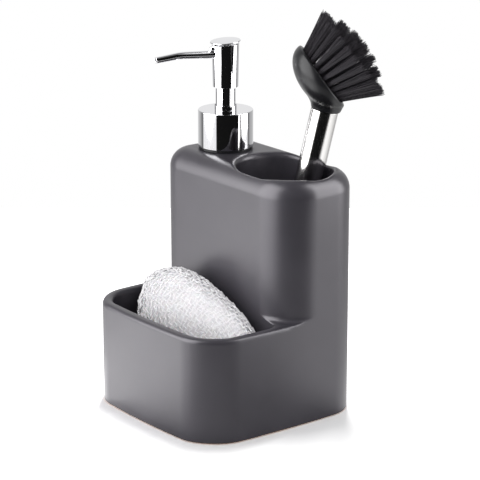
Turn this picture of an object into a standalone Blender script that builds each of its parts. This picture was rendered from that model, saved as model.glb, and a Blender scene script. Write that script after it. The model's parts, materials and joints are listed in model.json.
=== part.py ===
"""Countertop soap dispenser with a brush well and a sponge tray.

One glazed ceramic body carries a press pump, a dish brush and a net-covered sponge.
Frame: metres, +Z up, +X to the right along the front, -Y to the front, origin in the
middle of the flat base.
"""
import math

import bmesh
import bpy
from mathutils import Euler, Matrix, Vector

# Fits
SEAT_GAP = 0.0003
RUN_GAP = 0.00035
OVERRUN = 0.004
MERGE = 0.00001

# Ceramic body: plan
PLAN_WIDTH = 0.1230
PLAN_DEPTH = 0.1205
SIDE_BOW = 0.0026
FRONT_BOW = 0.0032
FRONT_CORNER_RADIUS = 0.0240
BACK_CORNER_RADIUS = 0.0225
WALL = 0.0066

# Ceramic body: heights and roundings
TRAY_HEIGHT = 0.0655
TOWER_HEIGHT = 0.1533
TOWER_FRONT_Y = -0.0034
TOWER_LEFT_CORNER_RADIUS = 0.0180
TOWER_RIGHT_CORNER_RADIUS = 0.0250
TOWER_TOP_FILLET = 0.0120
RIM_FILLET = 0.0026
FOOT_CHAMFER = 0.0008
FLOOR_THICKNESS = 0.0090
TRAY_FLOOR_FILLET = 0.0050

# Brush well: a slot with round ends
WELL_WIDTH = 0.0654
WELL_DEPTH = 0.0500
WELL_LIP_FILLET = 0.0030
WELL_LIP_SWEEP_DEG = 80
WELL_FLOOR_FILLET = 0.0060

# Soap reservoir
DIVIDER = 0.0055
RESERVOIR_ROOF = 0.0095
RESERVOIR_CORNER_RADIUS = 0.0090

# Neck insert, glued into the tower's top
PUMP_OFF_RESERVOIR_MIDDLE = 0.0008
PUMP_AHEAD_OF_TOWER_MIDDLE = 0.0014
NECK_HOLE_RADIUS = 0.0125
NECK_FLANGE_RADIUS = 0.0170
NECK_FLANGE_THICKNESS = 0.0012
NECK_SLEEVE_DEPTH = 0.0085
NECK_RADIUS = 0.0120
NECK_BORE_RADIUS = 0.0098
NECK_HEIGHT = 0.0130
THREAD_RADIUS = 0.0006
THREAD_PITCH = 0.0030
THREAD_TURNS = 1.5
THREAD_START = 0.0050

# Closure
COLLAR_RADIUS = 0.0174
COLLAR_WALL = 0.0007
COLLAR_TOP_THICKNESS = 0.0008
COLLAR_HEIGHT = 0.0231
COLLAR_EDGE = 0.0004
COLLAR_LIP_HEIGHT = 0.0030
COLLAR_LIP_WALL = 0.0004
NUT_WALL = 0.0022
NUT_RECESS_DEPTH = 0.0045

# Pump housing and what sits in it
GASKET_THICKNESS = 0.0012
HOUSING_FLANGE_THICKNESS = 0.0015
HOUSING_WALL = 0.0011
HOUSING_MOUTH_BORE_RADIUS = 0.0077
HOUSING_MOUTH_DEPTH = 0.0125
HOUSING_BORE_RADIUS = 0.0068
CYLINDER_LENGTH = 0.0440
BALL_CHAMBER_RADIUS = 0.0029
BALL_CHAMBER_DEPTH = 0.0060
BALL_SEAT_DEPTH = 0.0022
INLET_HOLE_RADIUS = 0.0014
TUBE_SOCKET_DEPTH = 0.0080
INLET_BALL_RADIUS = 0.0022
CAGE_THICKNESS = 0.0014
CAGE_HOLE_RADIUS = 0.0013
RETAINER_FLANGE_RADIUS = 0.0089
RETAINER_FLANGE_THICKNESS = 0.0014
RETAINER_DEPTH = 0.0120

# Dip tube
DIP_TUBE_RADIUS = 0.0026
DIP_TUBE_BORE_RADIUS = 0.0017
DIP_TUBE_FOOT_GAP = 0.0060

# Plunger
STROKE = 0.0130
PISTON_LENGTH = 0.0078
PISTON_LIP_HEIGHT = 0.0016
PISTON_WAIST_DEPTH = 0.0013
STEM_RADIUS = 0.0032
STEM_BORE_RADIUS = 0.0015
STEM_FOOT_RADIUS = 0.0044
STEM_FOOT_THICKNESS = 0.0018
SLEEVE_RADIUS = 0.0063
SLEEVE_WALL = 0.0008
SLEEVE_OVERLAP = 0.0175
OUTLET_BALL_RADIUS = 0.0019
OUTLET_CHAMBER_RADIUS = 0.0024
OUTLET_CHAMBER_HEIGHT = 0.0046
STEM_SOCKET_DEPTH = 0.0040

# Return spring
SPRING_WIRE_RADIUS = 0.00045
SPRING_COIL_RADIUS = 0.0049
SPRING_TURNS = 8
SPRING_POINTS_PER_TURN = 10

# Pump head
HEAD_HEADING_DEG = -104
HEAD_GAP_WHEN_PRESSED = 0.0016
HEAD_SLEEVE_RADIUS = 0.0080
HEAD_SLEEVE_TOP_RADIUS = 0.0086
HEAD_SLEEVE_WALL = 0.0006
HEAD_SLEEVE_HEIGHT = 0.0269
LUG_RADIUS = 0.0019
LUG_REACH = 0.0090
LUG_BELOW_SLEEVE_TOP = 0.0028
CORE_RECESS = 0.0022
CORE_TOP_RECESS = 0.0012
CORE_SPIGOT_LENGTH = 0.0070
BUTTON_RADIUS = 0.0096
BUTTON_TILT_DEG = 4.8
BUTTON_CONE_HEIGHT = 0.0009
BUTTON_EDGE_HEIGHT = 0.0009
BUTTON_DOME_HEIGHT = 0.0003
BUTTON_EDGE = 0.0003
BUTTON_PLUG_DEPTH = 0.0004

# Spout
SPOUT_BELOW_SLEEVE_TOP = 0.0066
SPOUT_ROOT_REACH = 0.0032
SPOUT_BEND_REACH = 0.0304
SPOUT_TIP_REACH = 0.0468
SPOUT_BEND_EASE = 0.0030
SPOUT_RISE_DEG = 3.0
SPOUT_DROP_DEG = 6.2
SPOUT_ROOT_RADIUS = 0.00265
SPOUT_TIP_RADIUS = 0.0020
SPOUT_BORE_RADIUS = 0.00125

# Brush: where it stands in the well, leaning on the lip at the back
BRUSH_FOOT_FROM_WELL_END = 0.0208
BRUSH_FOOT_FROM_WELL_FRONT = 0.016575
BRUSH_LIP_GAP = 0.00058
BRUSH_LEAN_HEADING_DEG = 52.3
BRUSH_ROLL_DEG = 7.7

# Brush: handle
HANDLE_LENGTH = 0.1800
HANDLE_RADIUS = 0.0085
HANDLE_WALL = 0.0008
CAP_HEIGHT = 0.0022
CAP_PLUG_LENGTH = 0.0120
SPIGOT_LENGTH = 0.0200

# Brush: head
HEAD_DISC_RADIUS = 0.0228
HEAD_DISC_DEPTH = 0.0150
HEAD_FACE_TILT_DEG = 41.5
HEAD_FACE_OFFSET = 0.0060
HEAD_FACE_HEIGHT = 0.0207
HEAD_RIM_WIDTH = 0.0014
HEAD_RIM_ROUND = 0.0012
HEAD_RECESS_DEPTH = 0.0016
NECK_TOP_RADIUS = 0.0094
NECK_TOP_OFFSET = 0.0040
NECK_TOP_HEIGHT = 0.0110
NECK_FOOT_SHARE = 1.03

# Brush: tufts
BACKING_THICKNESS = 0.0012
TUFT_RING_RADII = (0.0054, 0.0114, 0.0180)
TUFT_RING_COUNTS = (6, 14, 22)
BACKING_EDGES = (0.0084, 0.0148)
STRANDS_ROUND_TUFT = 6
STRAND_RADIUS = 0.00026
STRAND_LENGTH = 0.0272
STRAND_CROWN = 0.0060
STRAND_SIDES = 3
TUFT_ROOT_SPREAD = 0.00085
TUFT_TIP_SPREAD = 0.0022
TUFT_FLARE_DEG = 28

# Sponge in its net, leaning in the tray
SPONGE_END_GAP = 0.0009
SPONGE_WIDTH = 0.0324
SPONGE_HEIGHT = 0.0660
SPONGE_CENTRE_X = 0.0024
SPONGE_LEAN_DEG = -4.1
SPONGE_TILT_DEG = 22.2
SPONGE_TURN_DEG = 5.6
SPONGE_BACK_GAP = 0.0004
SPONGE_POWER = 2.4
NET_THICKNESS = 0.0005
NET_GAP = 0.0006

# Smoothness
CORNER_STEPS = 7
SIDE_STEPS = 4
FILLET_STEPS = 5
HIDDEN_STEPS = 20
MIDDLE_STEPS = 32
SHOWN_STEPS = 44
BALL_SEGMENTS = 14
BALL_RINGS = 8
PAD_STEPS_ROUND = 22
PAD_STEPS_ALONG = 12
OUTLINE_STEPS = 90

# Sizes that follow from the ones above
HALF_WIDTH = PLAN_WIDTH / 2
HALF_DEPTH = PLAN_DEPTH / 2
FRONT_BOW_START = HALF_DEPTH - FRONT_CORNER_RADIUS
TOWER_LEFT_CORNER_Y = TOWER_FRONT_Y + TOWER_LEFT_CORNER_RADIUS
TOWER_RIGHT_CORNER_Y = TOWER_FRONT_Y + TOWER_RIGHT_CORNER_RADIUS
TOWER_MIDDLE_Y = (TOWER_FRONT_Y + HALF_DEPTH) / 2
WELL_RIGHT_X = HALF_WIDTH + SIDE_BOW / 2 - WALL
WELL_CENTRE_X = WELL_RIGHT_X - WELL_WIDTH / 2
WELL_LEFT_X = WELL_RIGHT_X - WELL_WIDTH
WELL_FRONT_Y = TOWER_MIDDLE_Y - WELL_DEPTH / 2
WELL_BACK_Y = TOWER_MIDDLE_Y + WELL_DEPTH / 2
RESERVOIR_LEFT_X = -HALF_WIDTH + WALL
RESERVOIR_RIGHT_X = WELL_LEFT_X - DIVIDER
PUMP_X = (RESERVOIR_LEFT_X + RESERVOIR_RIGHT_X) / 2 + PUMP_OFF_RESERVOIR_MIDDLE
PUMP_Y = TOWER_MIDDLE_Y - PUMP_AHEAD_OF_TOWER_MIDDLE

NECK_THREAD_RADIUS = NECK_RADIUS + THREAD_RADIUS
COLLAR_BOTTOM = SEAT_GAP + NECK_FLANGE_THICKNESS + SEAT_GAP
COLLAR_TOP = COLLAR_BOTTOM + COLLAR_HEIGHT
COLLAR_BORE_RADIUS = SLEEVE_RADIUS + RUN_GAP
GASKET_BOTTOM = NECK_HEIGHT + SEAT_GAP
HOUSING_FLANGE_BOTTOM = GASKET_BOTTOM + GASKET_THICKNESS + SEAT_GAP
HOUSING_TOP = HOUSING_FLANGE_BOTTOM + HOUSING_FLANGE_THICKNESS
HOUSING_MOUTH_BOTTOM = HOUSING_TOP - HOUSING_MOUTH_DEPTH
CYLINDER_BOTTOM = HOUSING_MOUTH_BOTTOM - CYLINDER_LENGTH
CHAMBER_BOTTOM = CYLINDER_BOTTOM - BALL_CHAMBER_DEPTH
SEAT_BOTTOM = CHAMBER_BOTTOM - BALL_SEAT_DEPTH
SOCKET_BOTTOM = SEAT_BOTTOM - HOUSING_WALL - TUBE_SOCKET_DEPTH
SOCKET_RADIUS = DIP_TUBE_RADIUS + SEAT_GAP
RETAINER_FLANGE_BOTTOM = HOUSING_TOP + SEAT_GAP
RETAINER_TOP = RETAINER_FLANGE_BOTTOM + RETAINER_FLANGE_THICKNESS
RETAINER_BOTTOM = HOUSING_TOP - RETAINER_DEPTH
NUT_RADIUS = COLLAR_RADIUS - COLLAR_WALL - RUN_GAP
NUT_TOP = COLLAR_TOP - COLLAR_TOP_THICKNESS - SEAT_GAP
NUT_BOTTOM = COLLAR_BOTTOM + RUN_GAP
CAGE_BOTTOM = CYLINDER_BOTTOM + SEAT_GAP
CAGE_TOP = CAGE_BOTTOM + CAGE_THICKNESS

PISTON_TOP = RETAINER_BOTTOM - RUN_GAP
PISTON_BOTTOM = PISTON_TOP - PISTON_LENGTH
STEM_FOOT_TOP = PISTON_BOTTOM - SEAT_GAP
STEM_BOTTOM = STEM_FOOT_TOP - STEM_FOOT_THICKNESS
HEAD_BOTTOM = COLLAR_TOP + HEAD_GAP_WHEN_PRESSED + STROKE
HEAD_SLEEVE_TOP = HEAD_BOTTOM + HEAD_SLEEVE_HEIGHT
CORE_RADIUS = HEAD_SLEEVE_RADIUS - HEAD_SLEEVE_WALL - SEAT_GAP
CORE_BOTTOM = HEAD_BOTTOM + CORE_RECESS
CORE_TOP = HEAD_SLEEVE_TOP - CORE_TOP_RECESS
CORE_SPIGOT_RADIUS = SLEEVE_RADIUS - SLEEVE_WALL - SEAT_GAP
STEM_TOP = CORE_BOTTOM + STEM_SOCKET_DEPTH
SLEEVE_TOP = CORE_BOTTOM - SEAT_GAP
SLEEVE_BOTTOM = COLLAR_TOP - SLEEVE_OVERLAP
SPOUT_AXIS_HEIGHT = HEAD_SLEEVE_TOP - SPOUT_BELOW_SLEEVE_TOP
SPOUT_HOLE_RADIUS = SPOUT_ROOT_RADIUS + SEAT_GAP

BRUSH_FOOT_X = WELL_LEFT_X + BRUSH_FOOT_FROM_WELL_END
BRUSH_FOOT_Y = WELL_FRONT_Y + BRUSH_FOOT_FROM_WELL_FRONT
BRUSH_HEADING = math.radians(BRUSH_LEAN_HEADING_DEG)
BRUSH_RUN = (WELL_BACK_Y - BRUSH_LIP_GAP - HANDLE_RADIUS - BRUSH_FOOT_Y) / math.sin(BRUSH_HEADING)
BRUSH_RISE = TOWER_HEIGHT - WELL_LIP_FILLET - FLOOR_THICKNESS
BRUSH_LEAN = math.atan2(BRUSH_RUN, BRUSH_RISE)
BRUSH_FOOT_Z = FLOOR_THICKNESS + SEAT_GAP + HANDLE_RADIUS * math.sin(BRUSH_LEAN)
SPONGE_LENGTH = PLAN_WIDTH - 2 * WALL - 2 * SPONGE_END_GAP
NET_HALF = Vector((SPONGE_LENGTH / 2, SPONGE_WIDTH / 2, SPONGE_HEIGHT / 2))
CORE_INSET = NET_THICKNESS + NET_GAP


def clear_scene():
    """Remove what a new scene holds."""
    for item in list(bpy.data.objects):
        bpy.data.objects.remove(item, do_unlink=True)


def make_collection(name):
    """Make a collection in the scene."""
    collection = bpy.data.collections.new(name)
    bpy.context.scene.collection.children.link(collection)
    return collection


clear_scene()
PARTS = make_collection("soap_dispenser_caddy")
CUTTERS = make_collection("cutters")


def make_material(name, colour, roughness, metallic=0.0):
    """Make a plain material from a colour, a roughness and a metallic value."""
    material = bpy.data.materials.new(name)
    material.use_nodes = True
    shader = material.node_tree.nodes["Principled BSDF"]
    shader.inputs["Base Color"].default_value = (*colour, 1)
    shader.inputs["Roughness"].default_value = roughness
    shader.inputs["Metallic"].default_value = metallic
    material.diffuse_color = (*colour, 1)
    return material


def finish(item, material, smooth_angle_deg=35):
    """Give an object its own copy of a material and smooth shading."""
    own = material.copy()
    own.name = item.name + "_" + material.name
    item.data.materials.clear()
    item.data.materials.append(own)
    if item.type == "MESH":
        item.data.shade_smooth()
        item.data.set_sharp_from_angle(angle=math.radians(smooth_angle_deg))
    return item


def add_object(name, data, collection, parent=None):
    """Add an object with the given data to a collection."""
    item = bpy.data.objects.new(name, data)
    collection.objects.link(item)
    item.parent = parent
    return item


def add_axis(name, location, rotation=(0, 0, 0), parent=None):
    """Add an empty that carries pieces on their axis."""
    axis = bpy.data.objects.new(name, None)
    PARTS.objects.link(axis)
    axis.empty_display_size = WALL
    axis.parent = parent
    axis.location = location
    axis.rotation_euler = rotation
    return axis


def mesh_from(bm, name):
    """Turn a bmesh into mesh data."""
    bmesh.ops.recalc_face_normals(bm, faces=bm.faces)
    mesh = bpy.data.meshes.new(name)
    bm.to_mesh(mesh)
    bm.free()
    return mesh


def as_cutter(item):
    """Show an object as a wire guide that isn't rendered."""
    item.hide_render = True
    item.display_type = "WIRE"
    return item


def combine(target, other, operation):
    """Add an exact Boolean of another object to the target."""
    modifier = target.modifiers.new(operation.lower() + "_" + other.name, "BOOLEAN")
    modifier.operation = operation
    modifier.object = other
    modifier.solver = "EXACT"


def turned(name, profile, steps, parent, collection=None):
    """Turn a closed profile of (radius, height) points about the parent's Z axis.

    The points run down the outer side and up the inner side.
    """
    bm = bmesh.new()
    points = [bm.verts.new((radius, 0, height)) for radius, height in profile]
    on_axis = profile[0][0] == 0 and profile[-1][0] == 0
    for first, second in zip(points, points[1:]):
        bm.edges.new((first, second))
    if not on_axis:
        bm.edges.new((points[-1], points[0]))
    mesh = bpy.data.meshes.new(name)
    bm.to_mesh(mesh)
    bm.free()
    item = add_object(name, mesh, collection or PARTS, parent)
    screw = item.modifiers.new("turn", "SCREW")
    screw.axis = "Z"
    screw.angle = math.tau
    screw.steps = steps
    screw.render_steps = steps
    screw.use_merge_vertices = True
    screw.merge_threshold = MERGE
    screw.use_smooth_shade = True
    return item


def cylinder(name, radius, bottom, top, steps, parent, collection, offset=(0, 0), top_radius=None):
    """Add a closed cylinder or cone between two heights."""
    bm = bmesh.new()
    middle = Matrix.Translation((*offset, (bottom + top) / 2))
    end_radius = radius if top_radius is None else top_radius
    bmesh.ops.create_cone(bm, cap_ends=True, segments=steps, radius1=radius, radius2=end_radius,
                          depth=top - bottom, matrix=middle)
    return add_object(name, mesh_from(bm, name), collection, parent)


def ball(name, radius, height, parent, reach=0, collection=None):
    """Add a ball at a reach from the parent's Z axis."""
    bm = bmesh.new()
    bmesh.ops.create_uvsphere(bm, u_segments=BALL_SEGMENTS, v_segments=BALL_RINGS, radius=radius)
    item = add_object(name, mesh_from(bm, name), collection or PARTS, parent)
    item.location = (reach, 0, height)
    return item


def loft(name, rings, collection, parent=None):
    """Join a stack of equal outlines, each counter-clockwise from above, and cap the ends."""
    bm = bmesh.new()
    loops = [[bm.verts.new(point) for point in ring] for ring in rings]
    for lower, upper in zip(loops, loops[1:]):
        for index in range(len(lower)):
            following = (index + 1) % len(lower)
            bm.faces.new((lower[index], lower[following], upper[following], upper[index]))
    bm.faces.new(list(reversed(loops[0])))
    bm.faces.new(loops[-1])
    return add_object(name, mesh_from(bm, name), collection, parent)


def tube_mesh(name, points, radius, collection, parent, radii=None, resolution=2):
    """Add a round bar along points as a mesh with welded caps."""
    curve = bpy.data.curves.new(name, "CURVE")
    curve.dimensions = "3D"
    curve.bevel_depth = radius
    curve.bevel_resolution = resolution
    curve.use_fill_caps = True
    spline = curve.splines.new("POLY")
    spline.points.add(len(points) - 1)
    shares = radii or [1] * len(points)
    for point, position, share in zip(spline.points, points, shares):
        point.co = (*position, 1)
        point.radius = share
    source = add_object(name + "_route", curve, collection)
    bpy.context.view_layer.update()
    evaluated = source.evaluated_get(bpy.context.evaluated_depsgraph_get())
    mesh = bpy.data.meshes.new_from_object(evaluated)
    placed = source.matrix_world.copy()
    bpy.data.objects.remove(source, do_unlink=True)
    bm = bmesh.new()
    bm.from_mesh(mesh)
    bmesh.ops.remove_doubles(bm, verts=bm.verts, dist=MERGE)
    bmesh.ops.recalc_face_normals(bm, faces=bm.faces)
    bm.to_mesh(mesh)
    bm.free()
    item = add_object(name, mesh, collection, parent)
    item.matrix_basis = placed
    return item


def arc_points(centre_x, centre_y, radius, start_deg, sweep_deg, steps):
    """Points of an arc, both ends included."""
    points = []
    for step in range(steps + 1):
        angle = math.radians(start_deg + sweep_deg * step / steps)
        points.append((centre_x + radius * math.cos(angle), centre_y + radius * math.sin(angle)))
    return points


def between(start, end, steps):
    """Points strictly between two points."""
    return [(start[0] + (end[0] - start[0]) * step / steps,
             start[1] + (end[1] - start[1]) * step / steps) for step in range(1, steps)]


def bowed(point):
    """Push a plan point out so that the sides and the front are gently crowned."""
    x, y = point
    bow_x = x * (1 + SIDE_BOW / HALF_WIDTH * (1 - (y / HALF_DEPTH) ** 2))
    reach = max(0, (-y - FRONT_BOW_START) / (HALF_DEPTH - FRONT_BOW_START))
    bow_y = y - FRONT_BOW * reach ** 2 * (1 - (x / HALF_WIDTH) ** 2)
    return bow_x, bow_y


def plan_outline(inset):
    """The body's full plan, drawn in by an inset."""
    half_x = HALF_WIDTH - inset
    half_y = HALF_DEPTH - inset
    front = FRONT_CORNER_RADIUS - inset
    back = BACK_CORNER_RADIUS - inset
    left_front = arc_points(-half_x + front, -half_y + front, front, 180, 90, CORNER_STEPS)
    right_front = arc_points(half_x - front, -half_y + front, front, 270, 90, CORNER_STEPS)
    right_back = arc_points(half_x - back, half_y - back, back, 0, 90, CORNER_STEPS)
    left_back = arc_points(-half_x + back, half_y - back, back, 90, 90, CORNER_STEPS)
    right_middle = (half_x, TOWER_RIGHT_CORNER_Y)
    left_middle = (-half_x, TOWER_LEFT_CORNER_Y)
    outline = left_front + between(left_front[-1], right_front[0], 2 * SIDE_STEPS) + right_front
    outline += between(right_front[-1], right_middle, SIDE_STEPS) + [right_middle]
    outline += between(right_middle, right_back[0], SIDE_STEPS) + right_back
    outline += between(right_back[-1], left_back[0], SIDE_STEPS) + left_back
    outline += between(left_back[-1], left_middle, SIDE_STEPS) + [left_middle]
    outline += between(left_middle, left_front[0], SIDE_STEPS)
    return [bowed(point) for point in outline]


def tower_outline(inset):
    """The tower's plan: the full plan behind the tray, closed by a flat front."""
    behind = [(x, y) for x, y in plan_outline(inset)
              if y > (TOWER_RIGHT_CORNER_Y if x > 0 else TOWER_LEFT_CORNER_Y) - MERGE]
    left_radius = TOWER_LEFT_CORNER_RADIUS - inset
    right_radius = TOWER_RIGHT_CORNER_RADIUS - inset
    left_x = -bowed((HALF_WIDTH - inset, TOWER_LEFT_CORNER_Y))[0] + left_radius
    right_x = bowed((HALF_WIDTH - inset, TOWER_RIGHT_CORNER_Y))[0] - right_radius
    left = arc_points(left_x, TOWER_LEFT_CORNER_Y, left_radius, 180, 90, CORNER_STEPS)
    right = arc_points(right_x, TOWER_RIGHT_CORNER_Y, right_radius, 270, 90, CORNER_STEPS)
    return left[1:] + right[:-1] + behind


def tray_outline(inset):
    """The tray's hollow: the full plan in front of the tower, closed by the tower's front."""
    radius = FRONT_CORNER_RADIUS - inset
    half_x = HALF_WIDTH - inset
    front_y = -HALF_DEPTH + inset
    left = arc_points(-half_x + radius, front_y + radius, radius, 180, 90, CORNER_STEPS)
    right = arc_points(half_x - radius, front_y + radius, radius, 270, 90, CORNER_STEPS)
    back_right = (half_x, TOWER_FRONT_Y)
    back_left = (-half_x, TOWER_FRONT_Y)
    outline = left + between(left[-1], right[0], 2 * SIDE_STEPS) + right
    outline += between(right[-1], back_right, SIDE_STEPS) + [back_right, back_left]
    outline += between(back_left, left[0], SIDE_STEPS)
    return [bowed(point) for point in outline]


def slot_outline(centre_x, centre_y, width, depth, steps):
    """A slot with round ends."""
    radius = depth / 2
    reach = width / 2 - radius
    right = arc_points(centre_x + reach, centre_y, radius, -90, 180, steps)
    left = arc_points(centre_x - reach, centre_y, radius, 90, 180, steps)
    return right + left


def at_height(outline, height):
    """Lift a plan outline to a height."""
    return [(x, y, height) for x, y in outline]


def rounded_top(outline_at, top, fillet, steps):
    """Rings that round a top edge inward, from the foot of the fillet up."""
    rings = []
    for step in range(steps + 1):
        angle = math.pi / 2 * step / steps
        inset = fillet * (1 - math.cos(angle))
        rings.append(at_height(outline_at(inset), top - fillet + fillet * math.sin(angle)))
    return rings


def hollow_floor(outline_at, inset, floor, fillet, steps):
    """Rings that round a hollow's floor, from the floor up to the straight wall."""
    rings = []
    for step in range(steps + 1):
        angle = math.pi / 2 * step / steps
        extra = fillet * (1 - math.sin(angle))
        rings.append(at_height(outline_at(inset + extra), floor + fillet * (1 - math.cos(angle))))
    return rings


def flared_mouth(outline_at, inset, top, fillet, sweep_deg, steps):
    """Rings that open a hollow's mouth outward and run past the top."""
    rings = []
    for step in range(steps + 1):
        angle = math.radians(sweep_deg) * step / steps
        inset_here = inset - fillet * (1 - math.cos(angle))
        rings.append(at_height(outline_at(inset_here), top - fillet + fillet * math.sin(angle)))
    rings.append([(x, y, top + OVERRUN) for x, y, z in rings[-1]])
    return rings


def add_ceramic_body(material):
    """The slip-cast body: tray and tower in one, with tray, well, reservoir and neck hole."""
    foot = [at_height(plan_outline(FOOT_CHAMFER), 0), at_height(plan_outline(0), FOOT_CHAMFER)]
    body = loft("ceramic_body", foot + rounded_top(plan_outline, TRAY_HEIGHT, RIM_FILLET, FILLET_STEPS - 2),
                PARTS)

    tower_rings = [at_height(tower_outline(0), TRAY_HEIGHT - RIM_FILLET)]
    tower_rings += rounded_top(tower_outline, TOWER_HEIGHT, TOWER_TOP_FILLET, FILLET_STEPS + 1)
    tower = as_cutter(loft("tower_form", tower_rings, CUTTERS))
    combine(body, tower, "UNION")

    tray_rings = hollow_floor(tray_outline, WALL, FLOOR_THICKNESS, TRAY_FLOOR_FILLET, FILLET_STEPS - 2)
    tray_rings += flared_mouth(tray_outline, WALL, TRAY_HEIGHT, RIM_FILLET, WELL_LIP_SWEEP_DEG,
                               FILLET_STEPS - 2)
    combine(body, as_cutter(loft("tray_hollow", tray_rings, CUTTERS)), "DIFFERENCE")

    def well_outline(inset):
        return slot_outline(WELL_CENTRE_X, TOWER_MIDDLE_Y, WELL_WIDTH - 2 * inset,
                            WELL_DEPTH - 2 * inset, 2 * CORNER_STEPS)

    well_rings = hollow_floor(well_outline, 0, FLOOR_THICKNESS, WELL_FLOOR_FILLET, FILLET_STEPS - 2)
    well_rings += flared_mouth(well_outline, 0, TOWER_HEIGHT, WELL_LIP_FILLET, WELL_LIP_SWEEP_DEG,
                               FILLET_STEPS - 2)
    combine(body, as_cutter(loft("well_hollow", well_rings, CUTTERS)), "DIFFERENCE")

    low = Vector((RESERVOIR_LEFT_X, TOWER_FRONT_Y + WALL, FLOOR_THICKNESS))
    high = Vector((RESERVOIR_RIGHT_X, HALF_DEPTH - WALL, TOWER_HEIGHT - RESERVOIR_ROOF))
    bm = bmesh.new()
    size = high - low
    placed = Matrix.Translation((low + high) / 2) @ Matrix.Diagonal((*size, 1))
    bmesh.ops.create_cube(bm, size=1, matrix=placed)
    reservoir = as_cutter(add_object("reservoir_hollow", mesh_from(bm, "reservoir_hollow"), CUTTERS))
    rounding = reservoir.modifiers.new("rounding", "BEVEL")
    rounding.width = RESERVOIR_CORNER_RADIUS
    rounding.segments = 4
    combine(body, reservoir, "DIFFERENCE")

    neck_hole = cylinder("neck_hole", NECK_HOLE_RADIUS, TOWER_HEIGHT - RESERVOIR_ROOF - OVERRUN,
                         TOWER_HEIGHT + OVERRUN, SHOWN_STEPS, None, CUTTERS, (PUMP_X, PUMP_Y))
    combine(body, as_cutter(neck_hole), "DIFFERENCE")
    return finish(body, material, 30)


def add_neck_insert(axis, material):
    """The glued plastic neck, with the collar's thread round it."""
    flange_top = SEAT_GAP + NECK_FLANGE_THICKNESS
    sleeve_radius = NECK_HOLE_RADIUS - SEAT_GAP
    neck = turned("neck_insert", [
        (NECK_RADIUS, NECK_HEIGHT), (NECK_RADIUS, flange_top), (NECK_FLANGE_RADIUS, flange_top),
        (NECK_FLANGE_RADIUS, SEAT_GAP), (sleeve_radius, SEAT_GAP), (sleeve_radius, -NECK_SLEEVE_DEPTH),
        (NECK_BORE_RADIUS, -NECK_SLEEVE_DEPTH), (NECK_BORE_RADIUS, NECK_HEIGHT)], MIDDLE_STEPS, axis)
    points = []
    count = round(THREAD_TURNS * HIDDEN_STEPS)
    sunk = NECK_RADIUS - 2 * THREAD_RADIUS
    for index in range(count + 1):
        angle = math.tau * THREAD_TURNS * index / count
        radius = sunk if index in (0, count) else NECK_RADIUS
        height = THREAD_START + THREAD_PITCH * THREAD_TURNS * index / count
        points.append((radius * math.cos(angle), radius * math.sin(angle), height))
    thread = as_cutter(tube_mesh("neck_thread", points, THREAD_RADIUS, CUTTERS, axis, resolution=1))
    combine(neck, thread, "UNION")
    return finish(neck, material)


def add_closure(axis, chrome, plastic):
    """The chrome collar and the nut inside it."""
    inner = COLLAR_RADIUS - COLLAR_WALL
    lip_radius = COLLAR_BORE_RADIUS + COLLAR_LIP_WALL
    lip_top = COLLAR_TOP + COLLAR_LIP_HEIGHT
    collar = turned("collar_shell", [
        (lip_radius, lip_top), (lip_radius, COLLAR_TOP), (COLLAR_RADIUS - COLLAR_EDGE, COLLAR_TOP),
        (COLLAR_RADIUS, COLLAR_TOP - COLLAR_EDGE), (COLLAR_RADIUS, COLLAR_BOTTOM), (inner, COLLAR_BOTTOM),
        (inner, COLLAR_TOP - COLLAR_TOP_THICKNESS), (COLLAR_BORE_RADIUS, COLLAR_TOP - COLLAR_TOP_THICKNESS),
        (COLLAR_BORE_RADIUS, lip_top)], SHOWN_STEPS, axis)
    finish(collar, chrome, 30)

    roof_bottom = HOUSING_TOP + SEAT_GAP
    thread_bore = NECK_THREAD_RADIUS + RUN_GAP
    hole = RETAINER_FLANGE_RADIUS + RUN_GAP
    recess_inner = hole + NUT_WALL / 2
    recess_outer = NUT_RADIUS - NUT_WALL / 2
    nut = turned("closure_nut", [
        (recess_outer, NUT_TOP), (NUT_RADIUS, NUT_TOP), (NUT_RADIUS, NUT_BOTTOM), (thread_bore, NUT_BOTTOM),
        (thread_bore, roof_bottom), (hole, roof_bottom), (hole, NUT_TOP), (recess_inner, NUT_TOP),
        (recess_inner, NUT_TOP - NUT_RECESS_DEPTH), (recess_outer, NUT_TOP - NUT_RECESS_DEPTH)],
        HIDDEN_STEPS, axis)
    finish(nut, plastic)


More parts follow.
